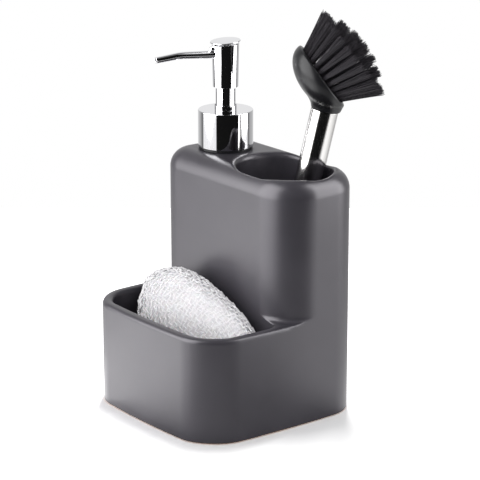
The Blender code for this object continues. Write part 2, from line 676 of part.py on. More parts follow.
def add_pump_housing(axis, plastic, rubber):
    """The gasket, the housing with its ball chamber, the retainer and the ball cage."""
    gasket = turned("neck_gasket", [
        (NECK_RADIUS, GASKET_BOTTOM + GASKET_THICKNESS), (NECK_RADIUS, GASKET_BOTTOM),
        (NECK_BORE_RADIUS, GASKET_BOTTOM), (NECK_BORE_RADIUS, GASKET_BOTTOM + GASKET_THICKNESS)],
        HIDDEN_STEPS, axis)
    finish(gasket, rubber)

    mouth_outer = HOUSING_MOUTH_BORE_RADIUS + HOUSING_WALL
    barrel_outer = HOUSING_BORE_RADIUS + HOUSING_WALL
    nipple_outer = SOCKET_RADIUS + HOUSING_WALL
    chamber_outer = BALL_CHAMBER_RADIUS + HOUSING_WALL
    step_bottom = HOUSING_MOUTH_BOTTOM - HOUSING_WALL
    cylinder_end = CYLINDER_BOTTOM - HOUSING_WALL
    housing = turned("pump_housing", [
        (NECK_RADIUS, HOUSING_TOP), (NECK_RADIUS, HOUSING_FLANGE_BOTTOM),
        (mouth_outer, HOUSING_FLANGE_BOTTOM), (mouth_outer, step_bottom), (barrel_outer, step_bottom),
        (barrel_outer, cylinder_end), (chamber_outer, cylinder_end), (nipple_outer, SEAT_BOTTOM),
        (nipple_outer, SOCKET_BOTTOM), (SOCKET_RADIUS, SOCKET_BOTTOM),
        (SOCKET_RADIUS, SEAT_BOTTOM - HOUSING_WALL),
        (INLET_HOLE_RADIUS, SEAT_BOTTOM - HOUSING_WALL), (INLET_HOLE_RADIUS, SEAT_BOTTOM),
        (BALL_CHAMBER_RADIUS, CHAMBER_BOTTOM), (BALL_CHAMBER_RADIUS, CYLINDER_BOTTOM),
        (HOUSING_BORE_RADIUS, CYLINDER_BOTTOM), (HOUSING_BORE_RADIUS, HOUSING_MOUTH_BOTTOM),
        (HOUSING_MOUTH_BORE_RADIUS, HOUSING_MOUTH_BOTTOM), (HOUSING_MOUTH_BORE_RADIUS, HOUSING_TOP)],
        HIDDEN_STEPS, axis)
    finish(housing, plastic)

    plug_radius = HOUSING_MOUTH_BORE_RADIUS - SEAT_GAP
    retainer = turned("pump_retainer", [
        (RETAINER_FLANGE_RADIUS, RETAINER_TOP), (RETAINER_FLANGE_RADIUS, RETAINER_FLANGE_BOTTOM),
        (plug_radius, RETAINER_FLANGE_BOTTOM), (plug_radius, RETAINER_BOTTOM),
        (COLLAR_BORE_RADIUS, RETAINER_BOTTOM), (COLLAR_BORE_RADIUS, RETAINER_TOP)], HIDDEN_STEPS, axis)
    finish(retainer, plastic)

    cage_radius = HOUSING_BORE_RADIUS - SEAT_GAP
    cage = turned("ball_cage", [
        (cage_radius, CAGE_TOP), (cage_radius, CAGE_BOTTOM), (CAGE_HOLE_RADIUS, CAGE_BOTTOM),
        (CAGE_HOLE_RADIUS, CAGE_TOP)], HIDDEN_STEPS, axis)
    finish(cage, plastic)


def add_dip_tube(axis, plastic):
    """The tube that reaches down to the reservoir's floor."""
    top = SEAT_BOTTOM - HOUSING_WALL - SEAT_GAP
    bottom = FLOOR_THICKNESS + DIP_TUBE_FOOT_GAP - TOWER_HEIGHT
    tube = turned("dip_tube", [
        (DIP_TUBE_RADIUS, top), (DIP_TUBE_RADIUS, bottom), (DIP_TUBE_BORE_RADIUS, bottom),
        (DIP_TUBE_BORE_RADIUS, top)], HIDDEN_STEPS, axis)
    finish(tube, plastic)


def cone_seat_height(radius):
    """Height of a ball's centre when it lies a seat gap above the inlet's cone."""
    slope = math.atan2(BALL_SEAT_DEPTH, BALL_CHAMBER_RADIUS - INLET_HOLE_RADIUS)
    apex = SEAT_BOTTOM - INLET_HOLE_RADIUS * math.tan(slope)
    return apex + (radius + SEAT_GAP) / math.cos(slope)


def add_balls(axis, steel):
    """The inlet ball in its chamber and the outlet ball on the stem."""
    finish(ball("inlet_ball", INLET_BALL_RADIUS, cone_seat_height(INLET_BALL_RADIUS), axis), steel)
    rise = math.sqrt(OUTLET_BALL_RADIUS ** 2 - STEM_BORE_RADIUS ** 2)
    outlet_height = STEM_TOP + rise + SEAT_GAP
    finish(ball("outlet_ball", OUTLET_BALL_RADIUS, outlet_height, axis), steel)


def add_return_spring(axis, steel):
    """The spring between the ball cage and the stem's foot."""
    bottom = CAGE_TOP + SEAT_GAP + SPRING_WIRE_RADIUS
    top = STEM_BOTTOM - SEAT_GAP - SPRING_WIRE_RADIUS
    count = SPRING_TURNS * SPRING_POINTS_PER_TURN
    points = []
    for index in range(count + 1):
        angle = math.tau * SPRING_TURNS * index / count
        height = bottom + (top - bottom) * index / count
        points.append((SPRING_COIL_RADIUS * math.cos(angle), SPRING_COIL_RADIUS * math.sin(angle), height))
    gaps = []
    for index in range(count + 1 - SPRING_POINTS_PER_TURN):
        step = Vector(points[index + SPRING_POINTS_PER_TURN]) - Vector(points[index])
        gaps.append(step.length - 2 * SPRING_WIRE_RADIUS)
    print("return_spring least gap between turns (m):", round(min(gaps), 6))
    spring = tube_mesh("return_spring", points, SPRING_WIRE_RADIUS, PARTS, axis, resolution=1)
    finish(spring, steel, 60)


def add_plunger(axis, plastic, chrome):
    """The piston, the hollow stem and the chrome sleeve round the stem."""
    seal_radius = HOUSING_BORE_RADIUS - RUN_GAP
    waist = seal_radius - PISTON_WAIST_DEPTH
    bore = STEM_RADIUS + SEAT_GAP
    piston = turned("piston", [
        (seal_radius, PISTON_TOP), (seal_radius, PISTON_TOP - PISTON_LIP_HEIGHT),
        (waist, PISTON_TOP - 2 * PISTON_LIP_HEIGHT), (waist, PISTON_BOTTOM + 2 * PISTON_LIP_HEIGHT),
        (seal_radius, PISTON_BOTTOM + PISTON_LIP_HEIGHT), (seal_radius, PISTON_BOTTOM),
        (bore, PISTON_BOTTOM), (bore, PISTON_TOP)], HIDDEN_STEPS, axis)
    finish(piston, plastic)

    stem = turned("piston_stem", [
        (STEM_RADIUS, STEM_TOP), (STEM_RADIUS, STEM_FOOT_TOP), (STEM_FOOT_RADIUS, STEM_FOOT_TOP),
        (STEM_FOOT_RADIUS, STEM_BOTTOM), (STEM_BORE_RADIUS, STEM_BOTTOM), (STEM_BORE_RADIUS, STEM_TOP)],
        HIDDEN_STEPS, axis)
    finish(stem, plastic)

    inner = SLEEVE_RADIUS - SLEEVE_WALL
    sleeve = turned("stem_sleeve", [
        (SLEEVE_RADIUS, SLEEVE_TOP), (SLEEVE_RADIUS, SLEEVE_BOTTOM), (inner, SLEEVE_BOTTOM),
        (inner, SLEEVE_TOP)], SHOWN_STEPS, axis)
    finish(sleeve, chrome, 30)


def spout_route(start_reach, end_reach):
    """Points along the spout's axis: a rising root, an eased bend and a falling tip."""
    rise = math.tan(math.radians(SPOUT_RISE_DEG))
    fall = math.tan(math.radians(SPOUT_DROP_DEG))

    def height(reach):
        into_bend = reach - (SPOUT_BEND_REACH - SPOUT_BEND_EASE)
        eased = min(max(into_bend, 0), 2 * SPOUT_BEND_EASE)
        past = max(into_bend - 2 * SPOUT_BEND_EASE, 0)
        bent = (rise + fall) * (eased ** 2 / (4 * SPOUT_BEND_EASE) + past)
        return SPOUT_AXIS_HEIGHT + rise * reach - bent

    bend_start = SPOUT_BEND_REACH - SPOUT_BEND_EASE
    reaches = [start_reach]
    reaches += [bend_start + SPOUT_BEND_EASE * step / 2 for step in range(5)]
    reaches.append(end_reach)
    return [(reach, 0, height(reach)) for reach in reaches]


def add_pump_head(axis, chrome, plastic):
    """The head's core, chrome sleeve with a lug, button and spout; the axis points along the spout."""
    socket = STEM_RADIUS + SEAT_GAP
    spigot_bottom = CORE_BOTTOM - CORE_SPIGOT_LENGTH
    stop = STEM_TOP + SEAT_GAP
    chamber_top = stop + OUTLET_CHAMBER_HEIGHT
    core = turned("head_core", [
        (0, CORE_TOP), (CORE_RADIUS, CORE_TOP), (CORE_RADIUS, CORE_BOTTOM), (CORE_SPIGOT_RADIUS, CORE_BOTTOM),
        (CORE_SPIGOT_RADIUS, spigot_bottom), (socket, spigot_bottom), (socket, stop),
        (OUTLET_CHAMBER_RADIUS, stop), (OUTLET_CHAMBER_RADIUS, chamber_top), (STEM_BORE_RADIUS, chamber_top),
        (STEM_BORE_RADIUS, SPOUT_AXIS_HEIGHT), (0, SPOUT_AXIS_HEIGHT)], HIDDEN_STEPS, axis)
    inward = SPOUT_ROOT_REACH - SEAT_GAP
    past_sleeve = HEAD_SLEEVE_RADIUS + OVERRUN
    root = spout_route(0, SPOUT_TIP_REACH)
    direction = (Vector(root[1]) - Vector(root[0])).normalized()
    origin = Vector(root[0])
    hole = as_cutter(tube_mesh("spout_hole", [origin + direction * inward, origin + direction * past_sleeve],
                               SPOUT_HOLE_RADIUS, CUTTERS, axis, resolution=4))
    channel = as_cutter(tube_mesh("spout_channel", [origin, origin + direction * (inward + SEAT_GAP)],
                                  SPOUT_BORE_RADIUS, CUTTERS, axis, resolution=3))
    combine(core, hole, "DIFFERENCE")
    combine(core, channel, "DIFFERENCE")
    finish(core, plastic)

    sleeve_inner = HEAD_SLEEVE_RADIUS - HEAD_SLEEVE_WALL
    sleeve = turned("head_sleeve", [
        (0, HEAD_SLEEVE_TOP + OVERRUN), (HEAD_SLEEVE_TOP_RADIUS, HEAD_SLEEVE_TOP + OVERRUN),
        (HEAD_SLEEVE_TOP_RADIUS, HEAD_SLEEVE_TOP), (HEAD_SLEEVE_RADIUS, HEAD_BOTTOM), (0, HEAD_BOTTOM)],
        SHOWN_STEPS, axis)
    lug = ball("sleeve_lug", LUG_RADIUS, HEAD_SLEEVE_TOP - LUG_BELOW_SLEEVE_TOP, axis, LUG_REACH, CUTTERS)
    combine(sleeve, as_cutter(lug), "UNION")
    sleeve_bore = cylinder("sleeve_bore", sleeve_inner, HEAD_BOTTOM - OVERRUN, HEAD_SLEEVE_TOP + 2 * OVERRUN,
                           SHOWN_STEPS, axis, CUTTERS)
    combine(sleeve, as_cutter(sleeve_bore), "DIFFERENCE")
    tilt = math.radians(BUTTON_TILT_DEG)
    bm = bmesh.new()
    size = 4 * HEAD_SLEEVE_RADIUS
    lifted = Matrix.Translation((0, 0, size / 2)) @ Matrix.Scale(size, 4)
    bmesh.ops.create_cube(bm, size=1, matrix=lifted)
    slant = as_cutter(add_object("sleeve_slant", mesh_from(bm, "sleeve_slant"), CUTTERS, axis))
    slant.location = (0, 0, HEAD_SLEEVE_TOP)
    slant.rotation_euler = (0, tilt, 0)
    combine(sleeve, slant, "DIFFERENCE")
    combine(sleeve, hole, "DIFFERENCE")
    finish(sleeve, chrome, 30)

    tilted = add_axis("button_axis", (0, 0, HEAD_SLEEVE_TOP), (0, tilt, 0), axis)
    cone_top = SEAT_GAP + BUTTON_CONE_HEIGHT
    edge_top = cone_top + BUTTON_EDGE_HEIGHT
    cap = turned("button_cap", [
        (0, edge_top + BUTTON_DOME_HEIGHT), (BUTTON_RADIUS / 2, edge_top + BUTTON_DOME_HEIGHT * 3 / 4),
        (BUTTON_RADIUS - BUTTON_EDGE, edge_top), (BUTTON_RADIUS, edge_top - BUTTON_EDGE),
        (BUTTON_RADIUS, cone_top + BUTTON_EDGE), (BUTTON_RADIUS - BUTTON_EDGE, cone_top),
        (HEAD_SLEEVE_TOP_RADIUS, SEAT_GAP), (sleeve_inner - SEAT_GAP, SEAT_GAP),
        (sleeve_inner - SEAT_GAP, -BUTTON_PLUG_DEPTH), (0, -BUTTON_PLUG_DEPTH)], SHOWN_STEPS, tilted)
    finish(cap, chrome, 30)

    route = spout_route(SPOUT_ROOT_REACH, SPOUT_TIP_REACH)
    shares = []
    for reach, side, height in route:
        along = (reach - SPOUT_ROOT_REACH) / (SPOUT_TIP_REACH - SPOUT_ROOT_REACH)
        shares.append(1 + (SPOUT_TIP_RADIUS / SPOUT_ROOT_RADIUS - 1) * along)
    spout = tube_mesh("spout_tube", route, SPOUT_ROOT_RADIUS, PARTS, axis, shares, 4)
    bore_route = spout_route(SPOUT_ROOT_REACH - OVERRUN / 2, SPOUT_TIP_REACH + OVERRUN)
    bore = as_cutter(tube_mesh("spout_bore", bore_route, SPOUT_BORE_RADIUS, CUTTERS, axis, resolution=3))
    combine(spout, bore, "DIFFERENCE")
    finish(spout, chrome, 40)


def add_brush_handle(axis, steel, plastic):
    """The steel tube and the plug in its lower end."""
    inner = HANDLE_RADIUS - HANDLE_WALL
    tube_bottom = CAP_HEIGHT + SEAT_GAP
    tube = turned("handle_tube", [
        (HANDLE_RADIUS, HANDLE_LENGTH), (HANDLE_RADIUS, tube_bottom), (inner, tube_bottom),
        (inner, HANDLE_LENGTH)], MIDDLE_STEPS, axis)
    finish(tube, steel, 30)

    plug = inner - SEAT_GAP
    cap = turned("handle_end_cap", [
        (0, CAP_HEIGHT + CAP_PLUG_LENGTH), (plug, CAP_HEIGHT + CAP_PLUG_LENGTH), (plug, CAP_HEIGHT),
        (HANDLE_RADIUS, CAP_HEIGHT), (HANDLE_RADIUS, CAP_HEIGHT / 2), (HANDLE_RADIUS - CAP_HEIGHT / 2, 0),
        (0, 0)], HIDDEN_STEPS, axis)
    finish(cap, plastic)


def add_brush_head(axis, face, plastic):
    """The domed head with its neck and the spigot that plugs into the handle."""
    rim = HEAD_DISC_RADIUS - HEAD_RIM_ROUND
    profile = [(0, 0), (rim, 0), (HEAD_DISC_RADIUS, -HEAD_RIM_ROUND)]
    for step in range(1, FILLET_STEPS + 3):
        angle = math.pi / 2 * step / (FILLET_STEPS + 3)
        depth = HEAD_RIM_ROUND + (HEAD_DISC_DEPTH - HEAD_RIM_ROUND) * math.sin(angle)
        profile.append((HEAD_DISC_RADIUS * math.cos(angle), -depth))
    profile.append((0, -HEAD_DISC_DEPTH))
    head = turned("brush_head", profile, 2 * HIDDEN_STEPS, face)

    bottom = HANDLE_LENGTH + SEAT_GAP
    neck_points = [(0, 0, HANDLE_LENGTH - SEAT_GAP),
                   (-NECK_TOP_OFFSET / 3, 0, HANDLE_LENGTH + NECK_TOP_HEIGHT / 2),
                   (-NECK_TOP_OFFSET, 0, HANDLE_LENGTH + NECK_TOP_HEIGHT)]
    neck_ratio = NECK_TOP_RADIUS / HANDLE_RADIUS
    neck = as_cutter(tube_mesh("head_neck", neck_points, HANDLE_RADIUS, CUTTERS, axis,
                               [NECK_FOOT_SHARE, (NECK_FOOT_SHARE + neck_ratio) / 2, neck_ratio], 6))
    combine(head, neck, "UNION")

    bm = bmesh.new()
    room = 4 * HEAD_DISC_RADIUS
    below = Matrix.Translation((0, 0, bottom - room / 2)) @ Matrix.Scale(room, 4)
    bmesh.ops.create_cube(bm, size=1, matrix=below)
    under = as_cutter(add_object("below_head", mesh_from(bm, "below_head"), CUTTERS, axis))
    combine(head, under, "DIFFERENCE")

    above = cylinder("above_face", 2 * HEAD_DISC_RADIUS, 0, HEAD_DISC_RADIUS, HIDDEN_STEPS, face, CUTTERS)
    combine(head, as_cutter(above), "DIFFERENCE")
    recess = cylinder("face_recess", HEAD_DISC_RADIUS - HEAD_RIM_WIDTH - HEAD_RIM_ROUND, -HEAD_RECESS_DEPTH,
                      OVERRUN, 2 * HIDDEN_STEPS, face, CUTTERS)
    combine(head, as_cutter(recess), "DIFFERENCE")

    spigot_radius = HANDLE_RADIUS - HANDLE_WALL - SEAT_GAP
    spigot = cylinder("head_spigot", spigot_radius, HANDLE_LENGTH - SPIGOT_LENGTH,
                      HANDLE_LENGTH + HEAD_RECESS_DEPTH, HIDDEN_STEPS, axis, CUTTERS)
    combine(head, as_cutter(spigot), "UNION")
    return finish(head, plastic, 40)


def strand(bm, root, tip):
    """Add one tapering strand between two points."""
    direction = tip - root
    turn = direction.to_track_quat("Z", "X").to_matrix().to_4x4()
    middle = Matrix.Translation((root + tip) / 2) @ turn
    bmesh.ops.create_cone(bm, cap_ends=True, segments=STRAND_SIDES, radius1=STRAND_RADIUS,
                          radius2=STRAND_RADIUS, depth=direction.length, matrix=middle)


def add_tuft(bm, ring_radius, angle, root_height):
    """Add one tuft: a middle strand and a ring of strands that spread towards their tips."""
    outer = TUFT_RING_RADII[-1]
    flare = math.radians(TUFT_FLARE_DEG) * ring_radius / outer
    length = STRAND_LENGTH + STRAND_CROWN * (1 - (ring_radius / outer) ** 2)
    outward = Vector((math.cos(angle), math.sin(angle), 0))
    sideways = Vector((-math.sin(angle), math.cos(angle), 0))
    root = outward * ring_radius + Vector((0, 0, root_height))
    tip = root + outward * (length * math.sin(flare)) + Vector((0, 0, length * math.cos(flare)))
    strand(bm, root, tip)
    for index in range(STRANDS_ROUND_TUFT):
        turn = math.tau * (index + 0.5) / STRANDS_ROUND_TUFT
        offset = outward * math.cos(turn) + sideways * math.sin(turn)
        strand(bm, root + offset * TUFT_ROOT_SPREAD, tip + offset * TUFT_TIP_SPREAD)


def add_bristles(face, plastic):
    """Three rings of tufts, each fused to its own slice of the backing."""
    names = ("bristles_inner", "bristles_middle", "bristles_outer")
    recess_radius = HEAD_DISC_RADIUS - HEAD_RIM_WIDTH - HEAD_RIM_ROUND
    inner_edges = (0, BACKING_EDGES[0] + SEAT_GAP, BACKING_EDGES[1] + SEAT_GAP)
    outer_edges = (BACKING_EDGES[0], BACKING_EDGES[1], recess_radius - SEAT_GAP)
    bottom = -HEAD_RECESS_DEPTH + SEAT_GAP
    top = bottom + BACKING_THICKNESS
    for name, radius, count, inner, outer in zip(names, TUFT_RING_RADII, TUFT_RING_COUNTS, inner_edges,
                                                 outer_edges):
        if inner == 0:
            profile = [(0, top), (outer, top), (outer, bottom), (0, bottom)]
        else:
            profile = [(outer, top), (outer, bottom), (inner, bottom), (inner, top)]
        slice_piece = turned(name, profile, HIDDEN_STEPS, face)
        bm = bmesh.new()
        root_height = top - BACKING_THICKNESS / 2
        for index in range(count):
            add_tuft(bm, radius, math.tau * index / count, root_height)
        if inner == 0:
            add_tuft(bm, 0, 0, root_height)
        tufts = as_cutter(add_object(name + "_tufts", mesh_from(bm, name + "_tufts"), CUTTERS, face))
        combine(slice_piece, tufts, "UNION")
        finish(slice_piece, plastic, 60)


def pad_point(u, v, half):
    """A point of the cushion form: u runs round the length axis, v from end to end."""
    def eased(value):
        return math.copysign(abs(value) ** (2 / SPONGE_POWER), value)

    return Vector((half.x * eased(math.sin(v)),
                   half.y * eased(math.cos(v)) * eased(math.cos(u)),
                   half.z * eased(math.cos(v)) * eased(math.sin(u))))


def pad_mesh(name, half, open_end):
    """Mesh of the cushion form; an open end leaves the gathered mouth of a net."""
    around = PAD_STEPS_ROUND
    along = PAD_STEPS_ALONG
    bm = bmesh.new()
    rings = []
    for step in range(1, along):
        v = -math.pi / 2 + math.pi * step / along
        rings.append([bm.verts.new(pad_point(math.tau * index / around, v, half)) for index in range(around)])
    for lower, upper in zip(rings, rings[1:]):
        for index in range(around):
            following = (index + 1) % around
            bm.faces.new((lower[index], lower[following], upper[following], upper[index]))
    ends = [(rings[-1], 1)] if open_end else [(rings[0], -1), (rings[-1], 1)]
    for ring, side in ends:
        pole = bm.verts.new((side * half.x, 0, 0))
        for index in range(around):
            following = (index + 1) % around
            bm.faces.new((ring[index], ring[following], pole))
    return mesh_from(bm, name)


def add_sponge(foam, knit):
    """The sponge and the knitted net round it, leaning against the tower in the tray."""
    turn = Euler((math.radians(SPONGE_LEAN_DEG), math.radians(SPONGE_TILT_DEG),
                  math.radians(SPONGE_TURN_DEG))).to_matrix()
    outline = []
    for step_round in range(OUTLINE_STEPS):
        for step_along in range(OUTLINE_STEPS + 1):
            u = math.tau * step_round / OUTLINE_STEPS
            v = math.pi * step_along / OUTLINE_STEPS - math.pi / 2
            outline.append(turn @ pad_point(u, v, NET_HALF))
    back = max(point.y for point in outline)
    low = min(point.z for point in outline)
    centre = (SPONGE_CENTRE_X, TOWER_FRONT_Y - SPONGE_BACK_GAP - back, FLOOR_THICKNESS + SEAT_GAP - low)
    axis = add_axis("sponge_axis", centre, turn.to_euler())
    core_half = NET_HALF - Vector((CORE_INSET, CORE_INSET, CORE_INSET))
    core = add_object("sponge_core", pad_mesh("sponge_core", core_half, False), PARTS, axis)
    finish(core, foam, 60)
    net = add_object("sponge_net", pad_mesh("sponge_net", NET_HALF, True), PARTS, axis)
    thickness = net.modifiers.new("thickness", "SOLIDIFY")
    thickness.thickness = NET_THICKNESS
    thickness.offset = -1
    finish(net, knit, 60)


def build():
    """Make every piece of the dispenser."""
    glaze = make_material("grey_glaze", (0.12, 0.118, 0.127), 0.42)
    chrome = make_material("chrome", (0.80, 0.80, 0.82), 0.06, 1.0)
    brushed = make_material("brushed_steel", (0.62, 0.61, 0.60), 0.28, 1.0)
    steel = make_material("steel", (0.55, 0.55, 0.56), 0.20, 1.0)
    black = make_material("black_plastic", (0.018, 0.018, 0.020), 0.45)
    natural = make_material("natural_plastic", (0.72, 0.73, 0.72), 0.40)
    rubber = make_material("rubber", (0.05, 0.05, 0.05), 0.70)
    nylon = make_material("nylon", (0.012, 0.012, 0.014), 0.40)
    foam = make_material("foam", (0.85, 0.85, 0.86), 0.90)
    knit = make_material("knit", (0.90, 0.90, 0.92), 0.80)

    add_ceramic_body(glaze)

    tower_top = (PUMP_X, PUMP_Y, TOWER_HEIGHT)
    pump_axis = add_axis("pump_axis", tower_top)
    add_neck_insert(pump_axis, black)
    closure_axis = add_axis("closure_axis", (0, 0, 0), (0, 0, 0), pump_axis)
    add_closure(closure_axis, chrome, black)
    add_pump_housing(pump_axis, natural, rubber)
    add_dip_tube(pump_axis, natural)
    plunger_axis = add_axis("plunger_axis", (0, 0, 0), (0, 0, 0), pump_axis)
    add_balls(pump_axis, steel)
    add_return_spring(pump_axis, steel)
    add_plunger(plunger_axis, natural, chrome)
    head_axis = add_axis("head_axis", (0, 0, 0), (0, 0, math.radians(HEAD_HEADING_DEG)), plunger_axis)
    add_pump_head(head_axis, chrome, black)

    lean = (Matrix.Rotation(BRUSH_HEADING, 3, "Z") @ Matrix.Rotation(BRUSH_LEAN, 3, "Y")
            @ Matrix.Rotation(math.radians(BRUSH_ROLL_DEG), 3, "Z"))
    brush_axis = add_axis("brush_axis", (BRUSH_FOOT_X, BRUSH_FOOT_Y, BRUSH_FOOT_Z), lean.to_euler())
    face_axis = add_axis("head_face", (-HEAD_FACE_OFFSET, 0, HANDLE_LENGTH + HEAD_FACE_HEIGHT),
                         (0, math.radians(HEAD_FACE_TILT_DEG), 0), brush_axis)
    add_brush_handle(brush_axis, brushed, black)
    add_brush_head(brush_axis, face_axis, black)
    add_bristles(face_axis, nylon)

    add_sponge(foam, knit)
    bpy.context.view_layer.update()


build()
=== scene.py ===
"""Looks of a countertop soap dispenser that also carries a dish brush and a sponge.

Metres, +Z up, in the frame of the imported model. The tray is at -Y, the tower at +Y.
"""
import json
import math
import random

import bmesh
import bpy
import numpy as np
from mathutils import Euler, Matrix, Vector


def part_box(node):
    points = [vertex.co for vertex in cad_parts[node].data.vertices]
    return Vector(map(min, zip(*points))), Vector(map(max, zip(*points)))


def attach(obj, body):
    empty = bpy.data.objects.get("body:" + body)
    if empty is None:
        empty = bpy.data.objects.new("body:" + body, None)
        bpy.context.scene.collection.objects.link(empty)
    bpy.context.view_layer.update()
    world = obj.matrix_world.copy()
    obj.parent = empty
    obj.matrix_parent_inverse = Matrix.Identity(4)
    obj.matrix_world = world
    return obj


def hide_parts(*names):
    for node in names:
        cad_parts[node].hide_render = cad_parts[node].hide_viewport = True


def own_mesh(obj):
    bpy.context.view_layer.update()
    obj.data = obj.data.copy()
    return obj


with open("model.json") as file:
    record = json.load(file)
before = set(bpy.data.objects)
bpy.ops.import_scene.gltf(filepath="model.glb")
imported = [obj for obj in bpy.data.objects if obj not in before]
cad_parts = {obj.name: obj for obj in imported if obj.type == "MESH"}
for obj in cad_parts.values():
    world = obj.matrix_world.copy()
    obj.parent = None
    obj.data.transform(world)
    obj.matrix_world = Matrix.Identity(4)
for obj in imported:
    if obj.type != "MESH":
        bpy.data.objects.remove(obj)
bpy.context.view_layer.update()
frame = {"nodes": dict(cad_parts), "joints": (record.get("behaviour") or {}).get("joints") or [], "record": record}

MM = 0.001

# Making of meshes
CELL_CORNERS = ((0, 0), (1, 0), (1, 1), (0, 1))
COARSE_STEPS = 64
FINE_STEPS = 96
FINEST_STEPS = 128
TOLERANCE = 0.01 * MM
WELD = 0.001 * MM
SLOPE_STEP = 0.02 * MM
LEAST_SLOPE = 0.25
PROJECTIONS = 5
BLEND_SMOOTH_DEG = 60
SOFT_SMOOTH_DEG = 180

# Camera of the photograph
CAMERA_AZIMUTH_DEG = 52.3
CAMERA_ELEVATION_DEG = 16.4
CAMERA_DISTANCE = 1.3812
CAMERA_TARGET = Vector((0.00587, 0.00760, 0.1052))
CAMERA_LENS_MM = 167.67
SENSOR_MM = 36
CLIP_START = 0.05
CLIP_END = 20

# Ceramic body
HALF_WIDTH = 61.50 * MM
HALF_DEPTH = 60.25 * MM
SIDE_BOW = 2.6 * MM
FRONT_BOW = 3.2 * MM
FRONT_CORNER = 24.0 * MM
BACK_CORNER = 22.5 * MM
WALL = 6.6 * MM
TRAY_HEIGHT = 65.5 * MM
TOWER_HEIGHT = 153.3 * MM
TOWER_FRONT_Y = -3.4 * MM
TOWER_LEFT_CORNER = 18.0 * MM
TOWER_RIGHT_CORNER = 25.0 * MM
TOWER_TOP_ROUND = 12.0 * MM
SHOULDER_ROUND = 3.0 * MM
RIM_ROUND = 2.6 * MM
FOOT_ROUND = 1.0 * MM
FLOOR_TOP = 9.0 * MM
SEAT_GAP = 0.3 * MM
TRAY_FLOOR_ROUND = 5.0 * MM
TRAY_CORNER_ROUND = 5.0 * MM
WELL_WIDTH = 65.4 * MM
WELL_DEPTH = 50.0 * MM
WELL_LIP_ROUND = 3.0 * MM
WELL_FLOOR_ROUND = 6.0 * MM
DIVIDER = 5.5 * MM
RESERVOIR_ROOF = 9.5 * MM
RESERVOIR_ROUND = 9.0 * MM
NECK_HOLE_RADIUS = 12.5 * MM
NECK_HOLE_ROUND = 0.3 * MM
BARE_FOOT_HEIGHT = 0.35 * MM
CERAMIC_GRID = 1.2 * MM
GRID_MARGIN = 3.0 * MM
FOOT_GRID = 0.5 * MM
FLOOR_GRID = 1.0 * MM
WALL_GRID = 4.0 * MM
EDGE_GRID = 0.9 * MM

TOWER_MIDDLE_Y = (TOWER_FRONT_Y + HALF_DEPTH) / 2
WELL_RIGHT_X = HALF_WIDTH + SIDE_BOW / 2 - WALL
WELL_CENTRE_X = WELL_RIGHT_X - WELL_WIDTH / 2
WELL_LEFT_X = WELL_RIGHT_X - WELL_WIDTH

# Pump head
PUMP_PLACE = next(Vector(j["pos_m"]) for j in frame["joints"] if j["name"] == "collar_turn")
HEAD_HEADING_DEG = -104
BUTTON_TILT_DEG = 4.8
SLEEVE_RADIUS = 8.0 * MM
SLEEVE_TOP_RADIUS = 8.6 * MM
SLEEVE_WALL = 0.6 * MM
SLEEVE_HEIGHT = 26.9 * MM
LUG_RADIUS = 1.9 * MM
LUG_REACH = 9.0 * MM
LUG_BELOW_SLEEVE_TOP = 2.8 * MM
SPOUT_BELOW_SLEEVE_TOP = 6.6 * MM
SPOUT_ROOT_REACH = 3.2 * MM
SPOUT_BEND_REACH = 30.4 * MM
SPOUT_BEND_EASE = 3.0 * MM
SPOUT_TIP_REACH = 46.8 * MM
SPOUT_RISE_DEG = 3.0
SPOUT_DROP_DEG = 6.2
SPOUT_ROOT_RADIUS = 2.65 * MM
SPOUT_TIP_RADIUS = 2.0 * MM
SPOUT_BORE_RADIUS = 1.25 * MM
SPOUT_STATIONS = 48
LUG_STEPS = (40, 24)
CORE_FOOT_RISE = 2.2 * MM
CORE_FOOT_THICKNESS = 4.0 * MM
CORE_SPIGOT_INSET = 1.9 * MM
CORE_BORE_RADIUS = 3.5 * MM
SPRING_WIRE_RADIUS = 0.45 * MM
SPRING_TURNS = 8
SPRING_STEPS = 32
SPRING_SIDES = 12
HIDDEN_EDGE = 0.12 * MM
SLEEVE_EDGE = 0.15 * MM
BUTTON_EDGE = 0.18 * MM
COLLAR_EDGE = 0.22 * MM
SPOUT_EDGE = 0.28 * MM

# Brush
BRUSH_FOOT = Vector((11.6 * MM, 20.0 * MM, 0))
BRUSH_LEAN_DEG = 12.285
BRUSH_HEADING_DEG = 52.3
BRUSH_ROLL_DEG = 7.7
HANDLE_LENGTH = 180.0 * MM
HANDLE_RADIUS = 8.5 * MM
HANDLE_EDGE = 0.2 * MM
END_CAP_EDGE = 0.3 * MM
HEAD_RADIUS = 22.8 * MM
HEAD_DEPTH = 15.0 * MM
HEAD_TILT_DEG = 41.5
HEAD_OFFSET = 6.0 * MM
HEAD_HEIGHT = 20.7 * MM
HEAD_RIM_ROUND = 1.2 * MM
HEAD_RIM_WIDTH = 2.6 * MM
HEAD_RECESS = 1.6 * MM
HEAD_NECK_RADIUS = 9.4 * MM
HEAD_NECK_BLEND = 5.0 * MM
HEAD_NECK_SINK = 2.0 * MM
HEAD_NECK_END_ROUND = 1.0 * MM
HEAD_NECK_FOOT_ROUND = 0.4 * MM
HEAD_NECK_SHARE = 1.02
HEAD_RECESS_ROUND = 0.5 * MM
HEAD_TURN_DEG = -4.7
HEAD_MARGIN = 2.0 * MM
HEAD_GRID = 0.6 * MM
HEAD_RIM_GRID = 0.4 * MM
HEAD_RIM_BAND = 3.0 * MM
HEAD_NECK_REACH = 14.0 * MM
TUFT_RINGS = ((0.0, 1), (5.4 * MM, 7), (11.4 * MM, 16), (18.0 * MM, 26))
TUFT_FIBRES = 70
TUFT_ROOT = 1.10 * MM
TUFT_TIP = 2.00 * MM
TUFT_FLARE_DEG = 23
FIBRE_RADIUS = 0.145 * MM
FIBRE_LENGTH = 27.8 * MM
